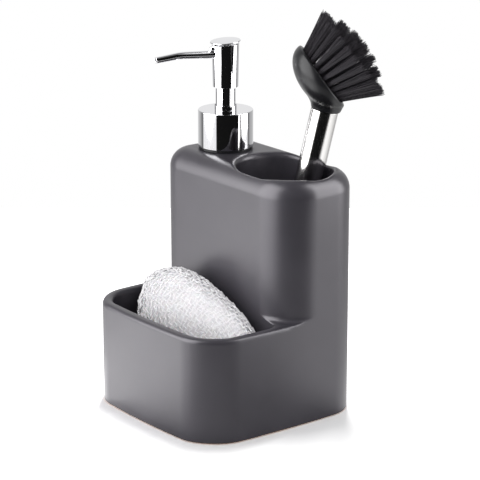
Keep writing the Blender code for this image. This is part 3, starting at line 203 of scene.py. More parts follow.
FIBRE_CROWN = 6.0 * MM
FIBRE_SIDES = 4
FIBRE_STATIONS = 4
FIBRE_STRAY = 0.25 * MM
FIBRE_BEND = (-0.2 * MM, 0.5 * MM)
FIBRE_LENGTH_SPREAD = (-0.07, 0.02)
TUFT_FLARE_STRAY = 0.012
TUFT_YAW_STRAY = 0.018
TUFT_SEED = 7

# Sponge in its net
SPONGE_HALF = Vector((54.0, 16.2, 33.0)) * MM
SPONGE_POWER = 2.4
SPONGE_CENTRE_X = 2.4 * MM
SPONGE_LEAN_DEG = -4.1
SPONGE_TILT_DEG = 22.2
SPONGE_TURN_DEG = 5.6
SPONGE_BACK_GAP = 0.4 * MM
SPONGE_STEPS = 90
SPONGE_SLACK_SHARE = 0.014
NET_CELL = 3.5 * MM
NET_STRAND = 1.05 * MM
NET_SLACK = 0.80 * MM
NET_STEPS = 400
NET_ROUND_SHARE = 0.92
NET_ROW_SHARE = 0.87
NET_KINK_SHARE = 0.17
NET_END_SHARE = 0.006
NET_MEASURED_AT = 0.6
NET_SEED = 11
PAD_BELOW_NET = 1.4 * MM
PAD_PILLOW = (0.1 * MM, 0.9 * MM)
PAD_SEED = 5

# Studio, by azimuths from the camera's, positive to its right
# Each lamp has a name, two azimuths, a brightness, and whether mirrors and matt surfaces see it
SOFTBOXES = (
    ("left_softbox", -105, -39, 4.2, True, False), ("left_fill", -105, -39, 4.8, False, True),
    ("right_softbox", 71, 102, 5.0, True, True), ("front_fill", -30, 45, 1.7, False, True))
SOFTBOX_HEIGHT = 1.30
SOFTBOX_MIDDLE = 0.66
SOFTBOX_DISTANCE = 0.65
TABLE_LAMP = 34.0
TABLE_LAMP_TURN = 174
TABLE_LAMP_RISE = 68
TABLE_LAMP_DISTANCE = 1.2
TABLE_LAMP_WIDTH = 0.15
TABLE_LAMP_LENGTH = 0.8
ROOM_FILL = 0.36
CEILING_IN_MIRRORS = 0.30
CEILING_DEG = (58, 66)
FLOOR_HALF = Vector((0.48, 0.39, 1.0))
FLOOR_FRONT = 0.33
FLOOR_DROP = 0.2 * MM
FLOOR_TO_CAMERA = 2.5
# Painted light: the floor's brightness as reflections see it, given by azimuth round the object, with brighter
# pools to the left and right.
FLOOR_PAINTED_LIGHT_IN_MIRRORS = (
    (-180, 1.8), (180, 1.8), (-140, 0.8), (-121, 1.9), (-112, 2.0), (-103, 2.8), (-90, 4.5), (-60, 4.4),
    (-20, 1.2), (20, 0.85), (45, 0.9), (58, 2.5), (80, 2.0), (105, 1.4), (126, 0.75), (150, 1.2))
ROOM_IN_MIRRORS = (
    (-180, 0.88), (180, 0.88), (-165, 0.88), (-160, 0.70), (-140, 0.57), (-125, 0.40), (-118, 0.26),
    (-113, 0.09), (-109, 0.35), (-106, 0.35), (-105, 1.0), (-40, 1.0), (-38, 0.008), (53, 0.006),
    (55, 0.70), (60, 0.53), (66, 0.53), (69, 0.65), (71, 1.0), (102, 1.0), (106, 0.22), (113, 0.20),
    (118, 0.38), (125, 0.47), (140, 0.52), (155, 0.62), (165, 0.88))


# Placing frames

PUMP = Matrix.Translation(PUMP_PLACE)
HEAD = PUMP @ Matrix.Rotation(math.radians(HEAD_HEADING_DEG), 4, "Z")
BRUSH_LEAN = math.radians(BRUSH_LEAN_DEG)
BRUSH_FOOT.z = FLOOR_TOP + SEAT_GAP + HANDLE_RADIUS * math.sin(BRUSH_LEAN)
BRUSH = (Matrix.Translation(BRUSH_FOOT) @ Matrix.Rotation(math.radians(BRUSH_HEADING_DEG), 4, "Z")
         @ Matrix.Rotation(BRUSH_LEAN, 4, "Y") @ Matrix.Rotation(math.radians(BRUSH_ROLL_DEG), 4, "Z"))
HEAD_BASE = BRUSH @ Matrix.Rotation(math.radians(HEAD_TURN_DEG), 4, "Z")
FACE = (HEAD_BASE @ Matrix.Translation((-HEAD_OFFSET, 0, HANDLE_LENGTH + HEAD_HEIGHT))
        @ Matrix.Rotation(math.radians(HEAD_TILT_DEG), 4, "Y"))


# Materials

def shader(name, colour, roughness, **sockets):
    """A node material with a Principled shader; other sockets go by their names."""
    material = bpy.data.materials.new(name)
    material.use_nodes = True
    principled = material.node_tree.nodes["Principled BSDF"]
    principled.inputs["Base Color"].default_value = (*colour, 1)
    principled.inputs["Roughness"].default_value = roughness
    for socket, value in sockets.items():
        principled.inputs[socket.replace("_", " ")].default_value = value
    material.diffuse_color = (*colour, 1)
    return material


def node(owner, kind, operation=None, **sockets):
    """Add a node to a material or the world, and set its operation and its sockets by name."""
    made = owner.node_tree.nodes.new(kind)
    if operation:
        made.operation = operation
    for socket, value in sockets.items():
        made.inputs[socket.replace("_", " ")].default_value = value
    return made


def link(owner, source, target):
    """Link an output socket to an input socket."""
    owner.node_tree.links.new(source, target)


def object_point(material, scale=(1, 1, 1)):
    """The surface point in the piece's own axes, stretched by a scale."""
    coordinates = node(material, "ShaderNodeTexCoord")
    mapping = node(material, "ShaderNodeMapping", Scale=scale)
    link(material, coordinates.outputs["Object"], mapping.inputs["Vector"])
    return mapping.outputs["Vector"]


def noise(material, point, scale, detail=2.0, roughness=0.5):
    """A noise value of about 0 to 1 at a point."""
    made = node(material, "ShaderNodeTexNoise", Scale=scale, Detail=detail, Roughness=roughness)
    link(material, point, made.inputs["Vector"])
    return made.outputs["Fac"]


def spread(owner, value, low, high, from_low=0.3, from_high=0.7, kind="LINEAR"):
    """Map a value from one range, by default a noise's usual one, to another."""
    made = node(owner, "ShaderNodeMapRange", From_Min=from_low, From_Max=from_high, To_Min=low, To_Max=high)
    made.interpolation_type = kind
    link(owner, value, made.inputs["Value"])
    return made.outputs["Result"]


def two_colours(material, factor, first, second):
    """Mix two colours by a factor; the second may be another node's output."""
    made = node(material, "ShaderNodeMix")
    made.data_type = "RGBA"
    colours = [socket for socket in made.inputs if socket.type == "RGBA"]
    colours[0].default_value = (*first, 1)
    if isinstance(second, tuple):
        colours[1].default_value = (*second, 1)
    else:
        link(material, second, colours[1])
    link(material, factor, made.inputs["Factor"])
    return [socket for socket in made.outputs if socket.type == "RGBA"][0]


def wandering(material, value, first, second, from_high=0.7):
    """A colour that wanders between two with a noise value."""
    return two_colours(material, spread(material, value, 0, 1, from_high=from_high), first, second)


def two_values(owner, factor, first, second):
    """Mix two values by a factor; each is a number or another node's output."""
    made = node(owner, "ShaderNodeMix")
    for socket, value in (("A", first), ("B", second)):
        if isinstance(value, float):
            made.inputs[socket].default_value = value
        else:
            link(owner, value, made.inputs[socket])
    link(owner, factor, made.inputs["Factor"])
    return made.outputs["Result"]


def bump(material, value, distance, strength):
    """Add a bump from a height value and return the normal socket."""
    made = node(material, "ShaderNodeBump", Distance=distance, Strength=strength)
    link(material, value, made.inputs["Height"])
    return made.outputs["Normal"]


def to_principled(material, socket, source):
    """Link a source to a socket of the material's Principled shader."""
    link(material, source, material.node_tree.nodes["Principled BSDF"].inputs[socket])


def make_glaze():
    """Satin dark grey glaze that stops just above the foot, where the clay shows."""
    glaze_dark = (0.020, 0.0186, 0.0232)
    glaze_light = (0.027, 0.0252, 0.0309)
    clay = (0.30, 0.20, 0.15)
    material = shader("glaze", glaze_light, 0.34, IOR=1.65, Specular_Tint=(0.98, 0.95, 1.0, 1.0))
    point = object_point(material)
    cloud = noise(material, point, 26, 3.0)
    colour = wandering(material, cloud, glaze_dark, glaze_light)
    separate = node(material, "ShaderNodeSeparateXYZ")
    link(material, point, separate.inputs["Vector"])
    ragged = node(material, "ShaderNodeMath", "MULTIPLY_ADD")
    ragged.inputs[1].default_value = -1.1 * MM
    link(material, noise(material, point, 24, 2.0), ragged.inputs[0])
    link(material, separate.outputs["Z"], ragged.inputs[2])
    glazed = spread(material, ragged.outputs["Value"], 0, 1, BARE_FOOT_HEIGHT - 0.5 * MM,
                    BARE_FOOT_HEIGHT - 0.3 * MM)
    to_principled(material, "Base Color", two_colours(material, glazed, clay, colour))
    orange_peel = noise(material, point, 240, 2.0)
    to_principled(material, "Normal", bump(material, orange_peel, 0.03 * MM, 0.5))
    to_principled(material, "Roughness", spread(material, noise(material, point, 55, 4.0), 0.31, 0.37))
    return material


def mottled(name, colour, low, high, scale, detail, **sockets):
    """A material of one colour whose roughness wanders between two values."""
    material = shader(name, colour, (low + high) / 2, **sockets)
    patches = noise(material, object_point(material), scale, detail)
    to_principled(material, "Roughness", spread(material, patches, low, high))
    return material


def make_chrome():
    """Mirror chrome with the faintest smears."""
    return mottled("chrome", (0.84, 0.84, 0.86), 0.025, 0.06, 90, 3.0, Metallic=1.0)


def make_brushed_steel():
    """Steel with fine lines that run along the piece."""
    material = shader("brushed_steel", (0.66, 0.65, 0.64), 0.2, Metallic=1.0)
    along = object_point(material, (1, 1, 0.02))
    lines = noise(material, along, 2400, 3.0, 0.6)
    to_principled(material, "Roughness", spread(material, lines, 0.09, 0.16))
    colour = wandering(material, lines, (0.56, 0.55, 0.54), (0.74, 0.73, 0.72))
    to_principled(material, "Base Color", colour)
    to_principled(material, "Normal", bump(material, lines, 0.01 * MM, 0.10))
    return material


def make_steel():
    """Bright wire and balls."""
    return mottled("steel", (0.58, 0.58, 0.59), 0.14, 0.28, 900, 2.0, Metallic=1.0)


def make_black_plastic():
    """Black moulded plastic with a fine grain."""
    material = shader("black_plastic", (0.006, 0.006, 0.007), 0.3, Specular_IOR_Level=0.32)
    point = object_point(material)
    grain = noise(material, point, 1500, 2.0)
    to_principled(material, "Normal", bump(material, grain, 0.02 * MM, 0.6))
    to_principled(material, "Roughness", spread(material, noise(material, point, 60, 3.0), 0.27, 0.35))
    return material


def make_natural_plastic():
    """Milky moulded plastic."""
    material = shader("natural_plastic", (0.78, 0.79, 0.78), 0.38, Subsurface_Weight=0.3,
                      Subsurface_Scale=2 * MM)
    cloud = noise(material, object_point(material), 120, 3.0)
    colour = wandering(material, cloud, (0.62, 0.63, 0.62), (0.75, 0.76, 0.75))
    to_principled(material, "Base Color", colour)
    to_principled(material, "Roughness", spread(material, cloud, 0.33, 0.44))
    return material


def make_rubber():
    """Matte black rubber."""
    return mottled("gasket_rubber", (0.035, 0.035, 0.036), 0.65, 0.85, 700, 4.0)


def make_nylon():
    """Black filament with a dull shine."""
    material = shader("nylon", (0.015, 0.013, 0.016), 0.32)
    fibre = noise(material, object_point(material), 2600, 2.0)
    to_principled(material, "Roughness", spread(material, fibre, 0.34, 0.52))
    colour = wandering(material, fibre, (0.002, 0.0018, 0.0024), (0.045, 0.040, 0.048))
    to_principled(material, "Base Color", colour)
    return material


def make_foam():
    """White foam and cloth below the net, painted greyer than the knit as painted shade below the strands, and
    darker in the pore hollows as painted shade.
    """
    material = shader("foam", (0.80, 0.79, 0.81), 0.9, Subsurface_Weight=0.1, Subsurface_Scale=2 * MM)
    point = object_point(material)
    pore_relief_and_shade = noise(material, point, 420, 2.0, 0.6)
    # Painted shade: the colour darkens where the pore bump is low, and the whole pad is greyer than the knit to
    # stand for the shade under the net.
    colour = wandering(material, pore_relief_and_shade, (0.74, 0.73, 0.75), (0.86, 0.85, 0.87), 0.62)
    to_principled(material, "Base Color", colour)
    to_principled(material, "Normal", bump(material, pore_relief_and_shade, 0.35 * MM, 0.5))
    return material


def make_knit():
    """White synthetic yarn of the net."""
    material = shader("knit", (0.92, 0.91, 0.93), 0.5, Sheen_Weight=0.2)
    yarn = noise(material, object_point(material), 1500, 3.0)
    to_principled(material, "Normal", bump(material, yarn, 0.25 * MM, 0.7))
    to_principled(material, "Roughness", spread(material, yarn, 0.42, 0.66))
    return material


MATERIALS = {
    "glaze": make_glaze(), "chrome": make_chrome(), "brushed_steel": make_brushed_steel(),
    "steel": make_steel(), "black_plastic": make_black_plastic(), "natural_plastic": make_natural_plastic(),
    "gasket_rubber": make_rubber(), "nylon": make_nylon(), "foam": make_foam(), "knit": make_knit(),
}
SLOT_OF = {entry["node"]: entry["material_slot"] for entry in frame["record"]["subparts"]}
BODY_OF = {name: body for body, members in frame["record"]["behaviour"]["bodies"].items()
           for name in members}


# Piece helpers

def mesh_of(bm, name):
    """Turn a bmesh into a mesh with its faces pointing out."""
    bmesh.ops.recalc_face_normals(bm, faces=bm.faces)
    mesh = bpy.data.meshes.new(name)
    bm.to_mesh(mesh)
    bm.free()
    return mesh


def add_piece(name, made, replaced, matrix=None, smooth_deg=40):
    """Add a mesh or bmesh that stands for CAD nodes, with the first node's material and body."""
    mesh = made if isinstance(made, bpy.types.Mesh) else mesh_of(made, name)
    piece = bpy.data.objects.new(name, mesh)
    bpy.context.scene.collection.objects.link(piece)
    if matrix is not None:
        piece.matrix_world = matrix
    mesh.materials.append(MATERIALS[SLOT_OF[replaced[0]]])
    mesh.shade_smooth()
    mesh.set_sharp_from_angle(angle=math.radians(smooth_deg))
    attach(piece, BODY_OF[replaced[0]])
    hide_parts(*replaced)
    return piece


def rounded(piece, width, segments=3, angle_deg=28):
    """Round a piece's sharp edges."""
    bevel = piece.modifiers.new("edges", "BEVEL")
    bevel.width = width
    bevel.segments = segments
    bevel.limit_method = "ANGLE"
    bevel.angle_limit = math.radians(angle_deg)
    return piece


def ring_round(bm, centre, side, up, radius, steps):
    """A ring of vertices round a centre, in the plane of two directions."""
    turns = [math.tau * step / steps for step in range(steps)]
    return [bm.verts.new(centre + side * (radius * math.cos(turn)) + up * (radius * math.sin(turn)))
            for turn in turns]


def join_rings(bm, lower, upper):
    """Faces between two rings of as many vertices."""
    for step in range(len(lower)):
        after = (step + 1) % len(lower)
        bm.faces.new((lower[step], lower[after], upper[after], upper[step]))


# Surfaces from distance fields

def cut_round(first, second, radius):
    """Distance to what two shapes share, with their common edge rounded."""
    over_first = np.maximum(first + radius, 0)
    over_second = np.maximum(second + radius, 0)
    return np.minimum(-radius, np.maximum(first, second)) + np.hypot(over_first, over_second)


def join_round(first, second, radius):
    """Distance to two shapes together, with a fillet between them."""
    return -cut_round(-first, -second, radius)


def eased(value):
    """Ease a value from 0 to 1."""
    share = np.clip(value, 0, 1)
    return share * share * (3 - 2 * share)


def gradient(distance, points):
    """Slope of a distance field at points."""
    slopes = []
    for axis in range(3):
        shift = np.zeros(3)
        shift[axis] = SLOPE_STEP
        slopes.append((distance(points + shift) - distance(points - shift)) / (2 * SLOPE_STEP))
    return np.stack(slopes, -1)


def window(stretches):
    """An index that keeps a (start, end) stretch of a 3-D array along each given axis."""
    return tuple(slice(*stretches.get(axis, (None, None))) for axis in range(3))


def field_mesh(name, distance, axes):
    """Mesh of the surface where a distance field is zero, sampled on a grid of three axes."""
    grid = np.stack(np.meshgrid(*axes, indexing="ij"), -1)
    values = distance(grid.reshape(-1, 3)).reshape(grid.shape[:3])
    inside = values < 0
    cells = tuple(len(axis) - 1 for axis in axes)
    total = np.zeros((*cells, 3))
    count = np.zeros(cells)
    crossings = []
    for axis in range(3):
        low = window({axis: (None, -1)})
        high = window({axis: (1, None)})
        crossing = inside[low] != inside[high]
        span = np.where(crossing, values[low] - values[high], 1)
        share = np.where(crossing, values[low] / span, 0)[..., None]
        points = np.where(crossing[..., None], grid[low] + share * (grid[high] - grid[low]), 0)
        one, other = (axis + 1) % 3, (axis + 2) % 3
        for first, second in CELL_CORNERS:
            near = window({one: (first, first + cells[one]), other: (second, second + cells[other])})
            total += points[near]
            count += crossing[near]
        crossings.append((crossing, inside[low], one, other))
    used = count > 0
    index = np.full(cells, -1)
    index[used] = np.arange(used.sum())
    points = total[used] / count[used][:, None]
    quads = []
    for crossing, starts_inside, one, other in crossings:
        inner = window({one: (1, -1), other: (1, -1)})
        chosen = crossing[inner]
        outward = starts_inside[inner][chosen]
        corners = []
        for first, second in CELL_CORNERS:
            near = window({one: (first, first + cells[one] - 1), other: (second, second + cells[other] - 1)})
            corners.append(index[near])
        quad = np.stack([corner[chosen] for corner in corners], -1)
        quads.append(np.where(outward[:, None], quad, quad[:, ::-1]))
    for _ in range(PROJECTIONS):
        slope = gradient(distance, points)
        steep = np.maximum((slope ** 2).sum(-1), LEAST_SLOPE)
        points = points - (distance(points) / steep)[:, None] * slope
    mesh = bpy.data.meshes.new(name)
    mesh.from_pydata(points.tolist(), [], np.concatenate(quads).tolist())
    return mesh


def steps_between(*stretches):
    """Grid values along (start, end, step) stretches that follow each other."""
    values = []
    for start, end, step in stretches:
        count = max(1, math.ceil((end - start) / step))
        values.extend(start + (end - start) * index / count for index in range(count))
    values.append(stretches[-1][1])
    return np.array(values)


# Ceramic body

def plan_distance(x, y, inset=0.0):
    """Distance to the body's plan, drawn in by an inset."""
    share_y = np.clip(y / HALF_DEPTH, -1, 1)
    straight_x = x / (1 + SIDE_BOW / HALF_WIDTH * (1 - share_y ** 2))
    bow_start = HALF_DEPTH - FRONT_CORNER
    reach = np.clip((-y - bow_start) / FRONT_CORNER, 0, 1)
    straight_y = y + FRONT_BOW * reach ** 2 * (1 - np.clip(straight_x / HALF_WIDTH, -1, 1) ** 2)
    corner = np.where(straight_y < 0, FRONT_CORNER, BACK_CORNER) - inset
    over_x = np.abs(straight_x) - HALF_WIDTH + inset + corner
    over_y = np.abs(straight_y) - HALF_DEPTH + inset + corner
    return (np.hypot(np.maximum(over_x, 0), np.maximum(over_y, 0))
            + np.minimum(np.maximum(over_x, over_y), 0) - corner)


def ceramic_distance(points):
    """Distance to the ceramic body: plan, tower, tray, well, reservoir and neck hole."""
    x, y, z = points.T
    plan = plan_distance(x, y)
    tower_plan = cut_round(plan, TOWER_FRONT_Y - y, np.where(x > 0, TOWER_RIGHT_CORNER, TOWER_LEFT_CORNER))
    tower = cut_round(tower_plan, z - TOWER_HEIGHT, TOWER_TOP_ROUND)
    body = join_round(z - TRAY_HEIGHT, tower, SHOULDER_ROUND)
    rim = RIM_ROUND * eased(tower_plan / (3 * RIM_ROUND))
    body = cut_round(plan, body, rim)
    body = cut_round(body, -z, FOOT_ROUND)

    tray = cut_round(plan_distance(x, y, WALL), y - TOWER_FRONT_Y, TRAY_CORNER_ROUND)
    tray = cut_round(tray, FLOOR_TOP - z, TRAY_FLOOR_ROUND)
    body = cut_round(body, -tray, RIM_ROUND * eased((TOWER_FRONT_Y - y) / (3 * RIM_ROUND)))

    well_end = np.maximum(np.abs(x - WELL_CENTRE_X) - (WELL_WIDTH - WELL_DEPTH) / 2, 0)
    well = np.hypot(well_end, y - TOWER_MIDDLE_Y) - WELL_DEPTH / 2
    well = cut_round(well, FLOOR_TOP - z, WELL_FLOOR_ROUND)
    body = cut_round(body, -well, WELL_LIP_ROUND)

    low = np.array((-HALF_WIDTH + WALL, TOWER_FRONT_Y + WALL, FLOOR_TOP))
    high = np.array((WELL_LEFT_X - DIVIDER, HALF_DEPTH - WALL, TOWER_HEIGHT - RESERVOIR_ROOF))
    over = np.abs(points - (low + high) / 2) - (high - low) / 2 + RESERVOIR_ROUND
    reservoir = (np.linalg.norm(np.maximum(over, 0), axis=-1) + np.minimum(over.max(-1), 0)
                 - RESERVOIR_ROUND)
    body = np.maximum(body, -reservoir)
    neck = np.hypot(x - PUMP_PLACE.x, y - PUMP_PLACE.y) - NECK_HOLE_RADIUS
    neck = np.maximum(neck, TOWER_HEIGHT - RESERVOIR_ROOF - WALL - z)
    return cut_round(body, -neck, NECK_HOLE_ROUND)


def add_ceramic_body():
    """The glazed body as one smooth surface."""
    side = HALF_WIDTH + SIDE_BOW + GRID_MARGIN
    across = steps_between((-side, side, CERAMIC_GRID))
    depth = steps_between((-HALF_DEPTH - FRONT_BOW - GRID_MARGIN, HALF_DEPTH + GRID_MARGIN, CERAMIC_GRID))
    rim_low = TRAY_HEIGHT - 2 * RIM_ROUND
    rim_high = TRAY_HEIGHT + 1.5 * SHOULDER_ROUND
    roof_low = TOWER_HEIGHT - RESERVOIR_ROOF - RESERVOIR_ROUND
    rise = steps_between(
        (-GRID_MARGIN, 0, GRID_MARGIN / 2), (0, 2 * FOOT_ROUND, FOOT_GRID),
        (2 * FOOT_ROUND, FLOOR_TOP - FLOOR_GRID, 2 * FLOOR_GRID),
        (FLOOR_TOP - FLOOR_GRID, FLOOR_TOP + WELL_FLOOR_ROUND, FLOOR_GRID),
        (FLOOR_TOP + WELL_FLOOR_ROUND, rim_low, WALL_GRID), (rim_low, rim_high, EDGE_GRID),
        (rim_high, roof_low, WALL_GRID), (roof_low, TOWER_HEIGHT + GRID_MARGIN, EDGE_GRID))
    mesh = field_mesh("ceramic_body_glazed", ceramic_distance, (across, depth, rise))
    add_piece("ceramic_body_glazed", mesh, ["ceramic_body"], smooth_deg=50)


# Turned pieces

def meridian(name, matrix):
    """The closed profile of a turned CAD node, as (radius, height) points in order."""
    mesh = frame["nodes"][name].data
    inverse = matrix.inverted()
    near = 0.004 * MM
    places = {}
    where = []
    for vertex in mesh.vertices:
        local = inverse @ vertex.co
        on_half_plane = abs(local.y) < near and local.x > -near
        key = (round(local.x / near / 4), round(local.z / near / 4)) if on_half_plane else None
        where.append(key)
        if key is not None:
            places.setdefault(key, (max(local.x, 0), local.z))
    neighbours = {key: set() for key in places}
    for edge in mesh.edges:
        first, second = (where[index] for index in edge.vertices)
        if first is not None and second is not None and first != second:
            neighbours[first].add(second)
            neighbours[second].add(first)
    start = min((key for key in places if len(neighbours[key]) == 1), default=min(places))
    order = [start]
    while True:
        following = [key for key in neighbours[order[-1]] if key not in order]
        if not following:
            break
        order.append(following[0])
    return [places[key] for key in order]


def turned(name, replaced, matrix, steps=FINE_STEPS, edge=SLEEVE_EDGE, profile=None, smooth_deg=30):
    """A finely turned piece with rounded edges; its profile is the CAD node's own, unless one is given."""
    profile = profile or meridian(replaced, matrix)
    bm = bmesh.new()
    rings = []
    for radius, height in profile:
        if radius < TOLERANCE:
            rings.append([bm.verts.new((0, 0, height))])
        else:
            centre = Vector((0, 0, height))
            rings.append(ring_round(bm, centre, Vector((1, 0, 0)), Vector((0, 1, 0)), radius, steps))
    closed = len(rings[0]) > 1 and len(rings[-1]) > 1
    pairs = list(zip(rings, rings[1:])) + ([(rings[-1], rings[0])] if closed else [])
    for lower, upper in pairs:
        for step in range(steps):
            after = (step + 1) % steps
            corners = [lower[step % len(lower)], lower[after % len(lower)],
                       upper[after % len(upper)], upper[step % len(upper)]]
            distinct = list(dict.fromkeys(corners))
            if len(distinct) > 2:
                bm.faces.new(distinct)
    return rounded(add_piece(name, bm, [replaced], matrix, smooth_deg), edge)


def add_turned_pieces():
    """Every piece of the pump and the handle that is turned."""
    for name in ("neck_gasket", "pump_housing", "pump_retainer", "ball_cage", "dip_tube", "closure_nut",
                 "piston", "piston_stem"):
        turned(name + "_turned", name, PUMP, COARSE_STEPS, HIDDEN_EDGE)
    turned("collar_chromed", "collar_shell", PUMP, FINEST_STEPS, COLLAR_EDGE)
    turned("stem_sleeve_chromed", "stem_sleeve", PUMP)
    turned("handle_tube_brushed", "handle_tube", BRUSH, FINEST_STEPS, HANDLE_EDGE)
    turned("handle_end_cap_moulded", "handle_end_cap", BRUSH, edge=END_CAP_EDGE)


# Pump head

def spout_height(reach):
    """Height of the spout's axis over its root, at a reach from the pump's axis."""
    rise = math.tan(math.radians(SPOUT_RISE_DEG))
    fall = math.tan(math.radians(SPOUT_DROP_DEG))
    into_bend = reach - (SPOUT_BEND_REACH - SPOUT_BEND_EASE)
    eased_part = min(max(into_bend, 0), 2 * SPOUT_BEND_EASE)
    past = max(into_bend - 2 * SPOUT_BEND_EASE, 0)
    return rise * reach - (rise + fall) * (eased_part ** 2 / (4 * SPOUT_BEND_EASE) + past)


def swept(bm, centres, radii):
    """Rings of vertices round a centre line in the X-Z plane."""
    rings = []
    for index, (centre, radius) in enumerate(zip(centres, radii)):
        before = centres[max(index - 1, 0)]
        after = centres[min(index + 1, len(centres) - 1)]
        along = (after - before).normalized()
        side = Vector((0, 1, 0))
        rings.append(ring_round(bm, centre, side, along.cross(side), radius, COARSE_STEPS))
    return rings


def add_lug(mesh, height):
    """Set a small round lug into the sleeve's wall above the spout."""
    bm = bmesh.new()
    bm.from_mesh(mesh)
    placed = Matrix.Translation((LUG_REACH, 0, height))
    made = bmesh.ops.create_uvsphere(bm, u_segments=LUG_STEPS[0], v_segments=LUG_STEPS[1],
                                     radius=LUG_RADIUS, matrix=placed)
    back = (SLEEVE_RADIUS + SLEEVE_TOP_RADIUS) / 2 - SLEEVE_WALL / 2
    for vertex in made["verts"]:
        vertex.co.x = max(vertex.co.x, back)
    bmesh.ops.remove_doubles(bm, verts=made["verts"], dist=WELD)
    for face in bm.faces:
        face.smooth = True
    bm.to_mesh(mesh)
    bm.free()


def add_pump_head():
    """The sleeve with its slanted top, the button and the plastic core; returns the sleeve's top."""
    sleeve_low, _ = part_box("head_sleeve")
    core_low, core_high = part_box("head_core")
    tilt = math.radians(BUTTON_TILT_DEG)
    bottom = sleeve_low.z - PUMP_PLACE.z
    top = bottom + SLEEVE_HEIGHT
    inner = SLEEVE_RADIUS - SLEEVE_WALL
    profile = [(SLEEVE_TOP_RADIUS, top), (SLEEVE_RADIUS, bottom), (inner, bottom), (inner, top)]
    sleeve = turned("head_sleeve_chromed", "head_sleeve", HEAD, FINEST_STEPS, profile=profile)
    for vertex in sleeve.data.vertices:
        if abs(vertex.co.z - top) < TOLERANCE:
            vertex.co.z = top - vertex.co.x * math.tan(tilt)
    add_lug(sleeve.data, top - LUG_BELOW_SLEEVE_TOP)
    button = HEAD @ Matrix.Translation((0, 0, top)) @ Matrix.Rotation(tilt, 4, "Y")
    turned("button_cap_chromed", "button_cap", button, FINEST_STEPS, BUTTON_EDGE, smooth_deg=24)

    core_radius = (core_high.x - core_low.x) / 2
    core_top = core_high.z - PUMP_PLACE.z
    core_bottom = core_low.z - PUMP_PLACE.z
    core_foot = bottom + CORE_FOOT_RISE
    core_roof = core_foot + CORE_FOOT_THICKNESS
    spigot = core_radius - CORE_SPIGOT_INSET
    bore = CORE_BORE_RADIUS
    turned("head_core_moulded", "head_core", HEAD, profile=[
        (0, core_top), (core_radius, core_top), (core_radius, core_foot), (spigot, core_foot),
        (spigot, core_bottom), (bore, core_bottom), (bore, core_roof), (0, core_roof)])
    return top


def add_spout(sleeve_top):
    """The bent, tapered spout with its open bore."""
    root = Vector((0, 0, sleeve_top - SPOUT_BELOW_SLEEVE_TOP))
    span = SPOUT_TIP_REACH - SPOUT_ROOT_REACH
    reach = [SPOUT_ROOT_REACH + span * step / SPOUT_STATIONS for step in range(SPOUT_STATIONS + 1)]
    centres = [root + Vector((value, 0, spout_height(value))) for value in reach]
    radii = [SPOUT_ROOT_RADIUS + (SPOUT_TIP_RADIUS - SPOUT_ROOT_RADIUS) * (value - SPOUT_ROOT_REACH) / span
             for value in reach]
    bm = bmesh.new()
    outer = swept(bm, centres, radii)
    inner = swept(bm, centres, [SPOUT_BORE_RADIUS] * len(centres))
    for rings in (outer, inner):
        for lower, upper in zip(rings, rings[1:]):
            join_rings(bm, lower, upper)
    for end in (0, -1):
        join_rings(bm, outer[end], inner[end])
    rounded(add_piece("spout_chromed", bm, ["spout_tube"], HEAD), SPOUT_EDGE, 4)


def add_return_spring():
    """The wound return spring, built as one fixed helix at its rest length."""
    low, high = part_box("return_spring")
    coil = (high.x - low.x) / 2 - SPRING_WIRE_RADIUS
    rise = high.z - low.z - 2 * SPRING_WIRE_RADIUS
    count = SPRING_TURNS * SPRING_STEPS
    pitch = math.atan2(rise, math.tau * coil * SPRING_TURNS)
    bm = bmesh.new()
    rings = []
    for index in range(count + 1):
        angle = math.tau * index / SPRING_STEPS
        radial = Vector((math.cos(angle), math.sin(angle), 0))
        around = Vector((-math.sin(angle), math.cos(angle), 0))
        along = around * math.cos(pitch) + Vector((0, 0, math.sin(pitch)))
        centre = radial * coil
        centre.z = low.z - PUMP_PLACE.z + SPRING_WIRE_RADIUS + rise * index / count
        rings.append(ring_round(bm, centre, radial, radial.cross(along), SPRING_WIRE_RADIUS, SPRING_SIDES))
    for lower, upper in zip(rings, rings[1:]):
        join_rings(bm, lower, upper)
    bm.faces.new(rings[0])
    bm.faces.new(rings[-1])
    spring = add_piece("return_spring_wound", bm, ["return_spring"], PUMP, smooth_deg=50)
    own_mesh(spring)


# Brush head and bristles

def brush_head_distance(points):
    """Distance to the head: a shallow bowl, its neck, and the recess for the bristles."""
    x, y, z = points.T
    around = np.hypot(x, y)
    below = np.minimum(z + HEAD_RIM_ROUND, 0)
    depth = HEAD_DEPTH - HEAD_RIM_ROUND
    bowl = (np.hypot(around / HEAD_RADIUS, below / depth) - 1) * (HEAD_RADIUS + depth) / 2
    to_handle = np.array((FACE.inverted() @ HEAD_BASE).inverted())
    local = points @ to_handle[:3, :3].T + to_handle[:3, 3]
    share = np.clip((local[:, 2] - HANDLE_LENGTH) / HEAD_HEIGHT, 0, 1)
    centre = -HEAD_OFFSET * share ** 2 / 2
    radius = HANDLE_RADIUS * HEAD_NECK_SHARE + (HEAD_NECK_RADIUS - HANDLE_RADIUS) * share
    neck = np.hypot(local[:, 0] - centre, local[:, 1]) - radius
    neck = cut_round(neck, z + HEAD_RECESS + HEAD_NECK_SINK, HEAD_NECK_END_ROUND)
    head = join_round(bowl, neck, HEAD_NECK_BLEND)
    head = cut_round(head, z, HEAD_RIM_ROUND)
    head = cut_round(head, HANDLE_LENGTH + SEAT_GAP - local[:, 2], HEAD_NECK_FOOT_ROUND)
    recess = np.maximum(around - (HEAD_RADIUS - HEAD_RIM_WIDTH), -HEAD_RECESS - z)
    return cut_round(head, -recess, HEAD_RECESS_ROUND)


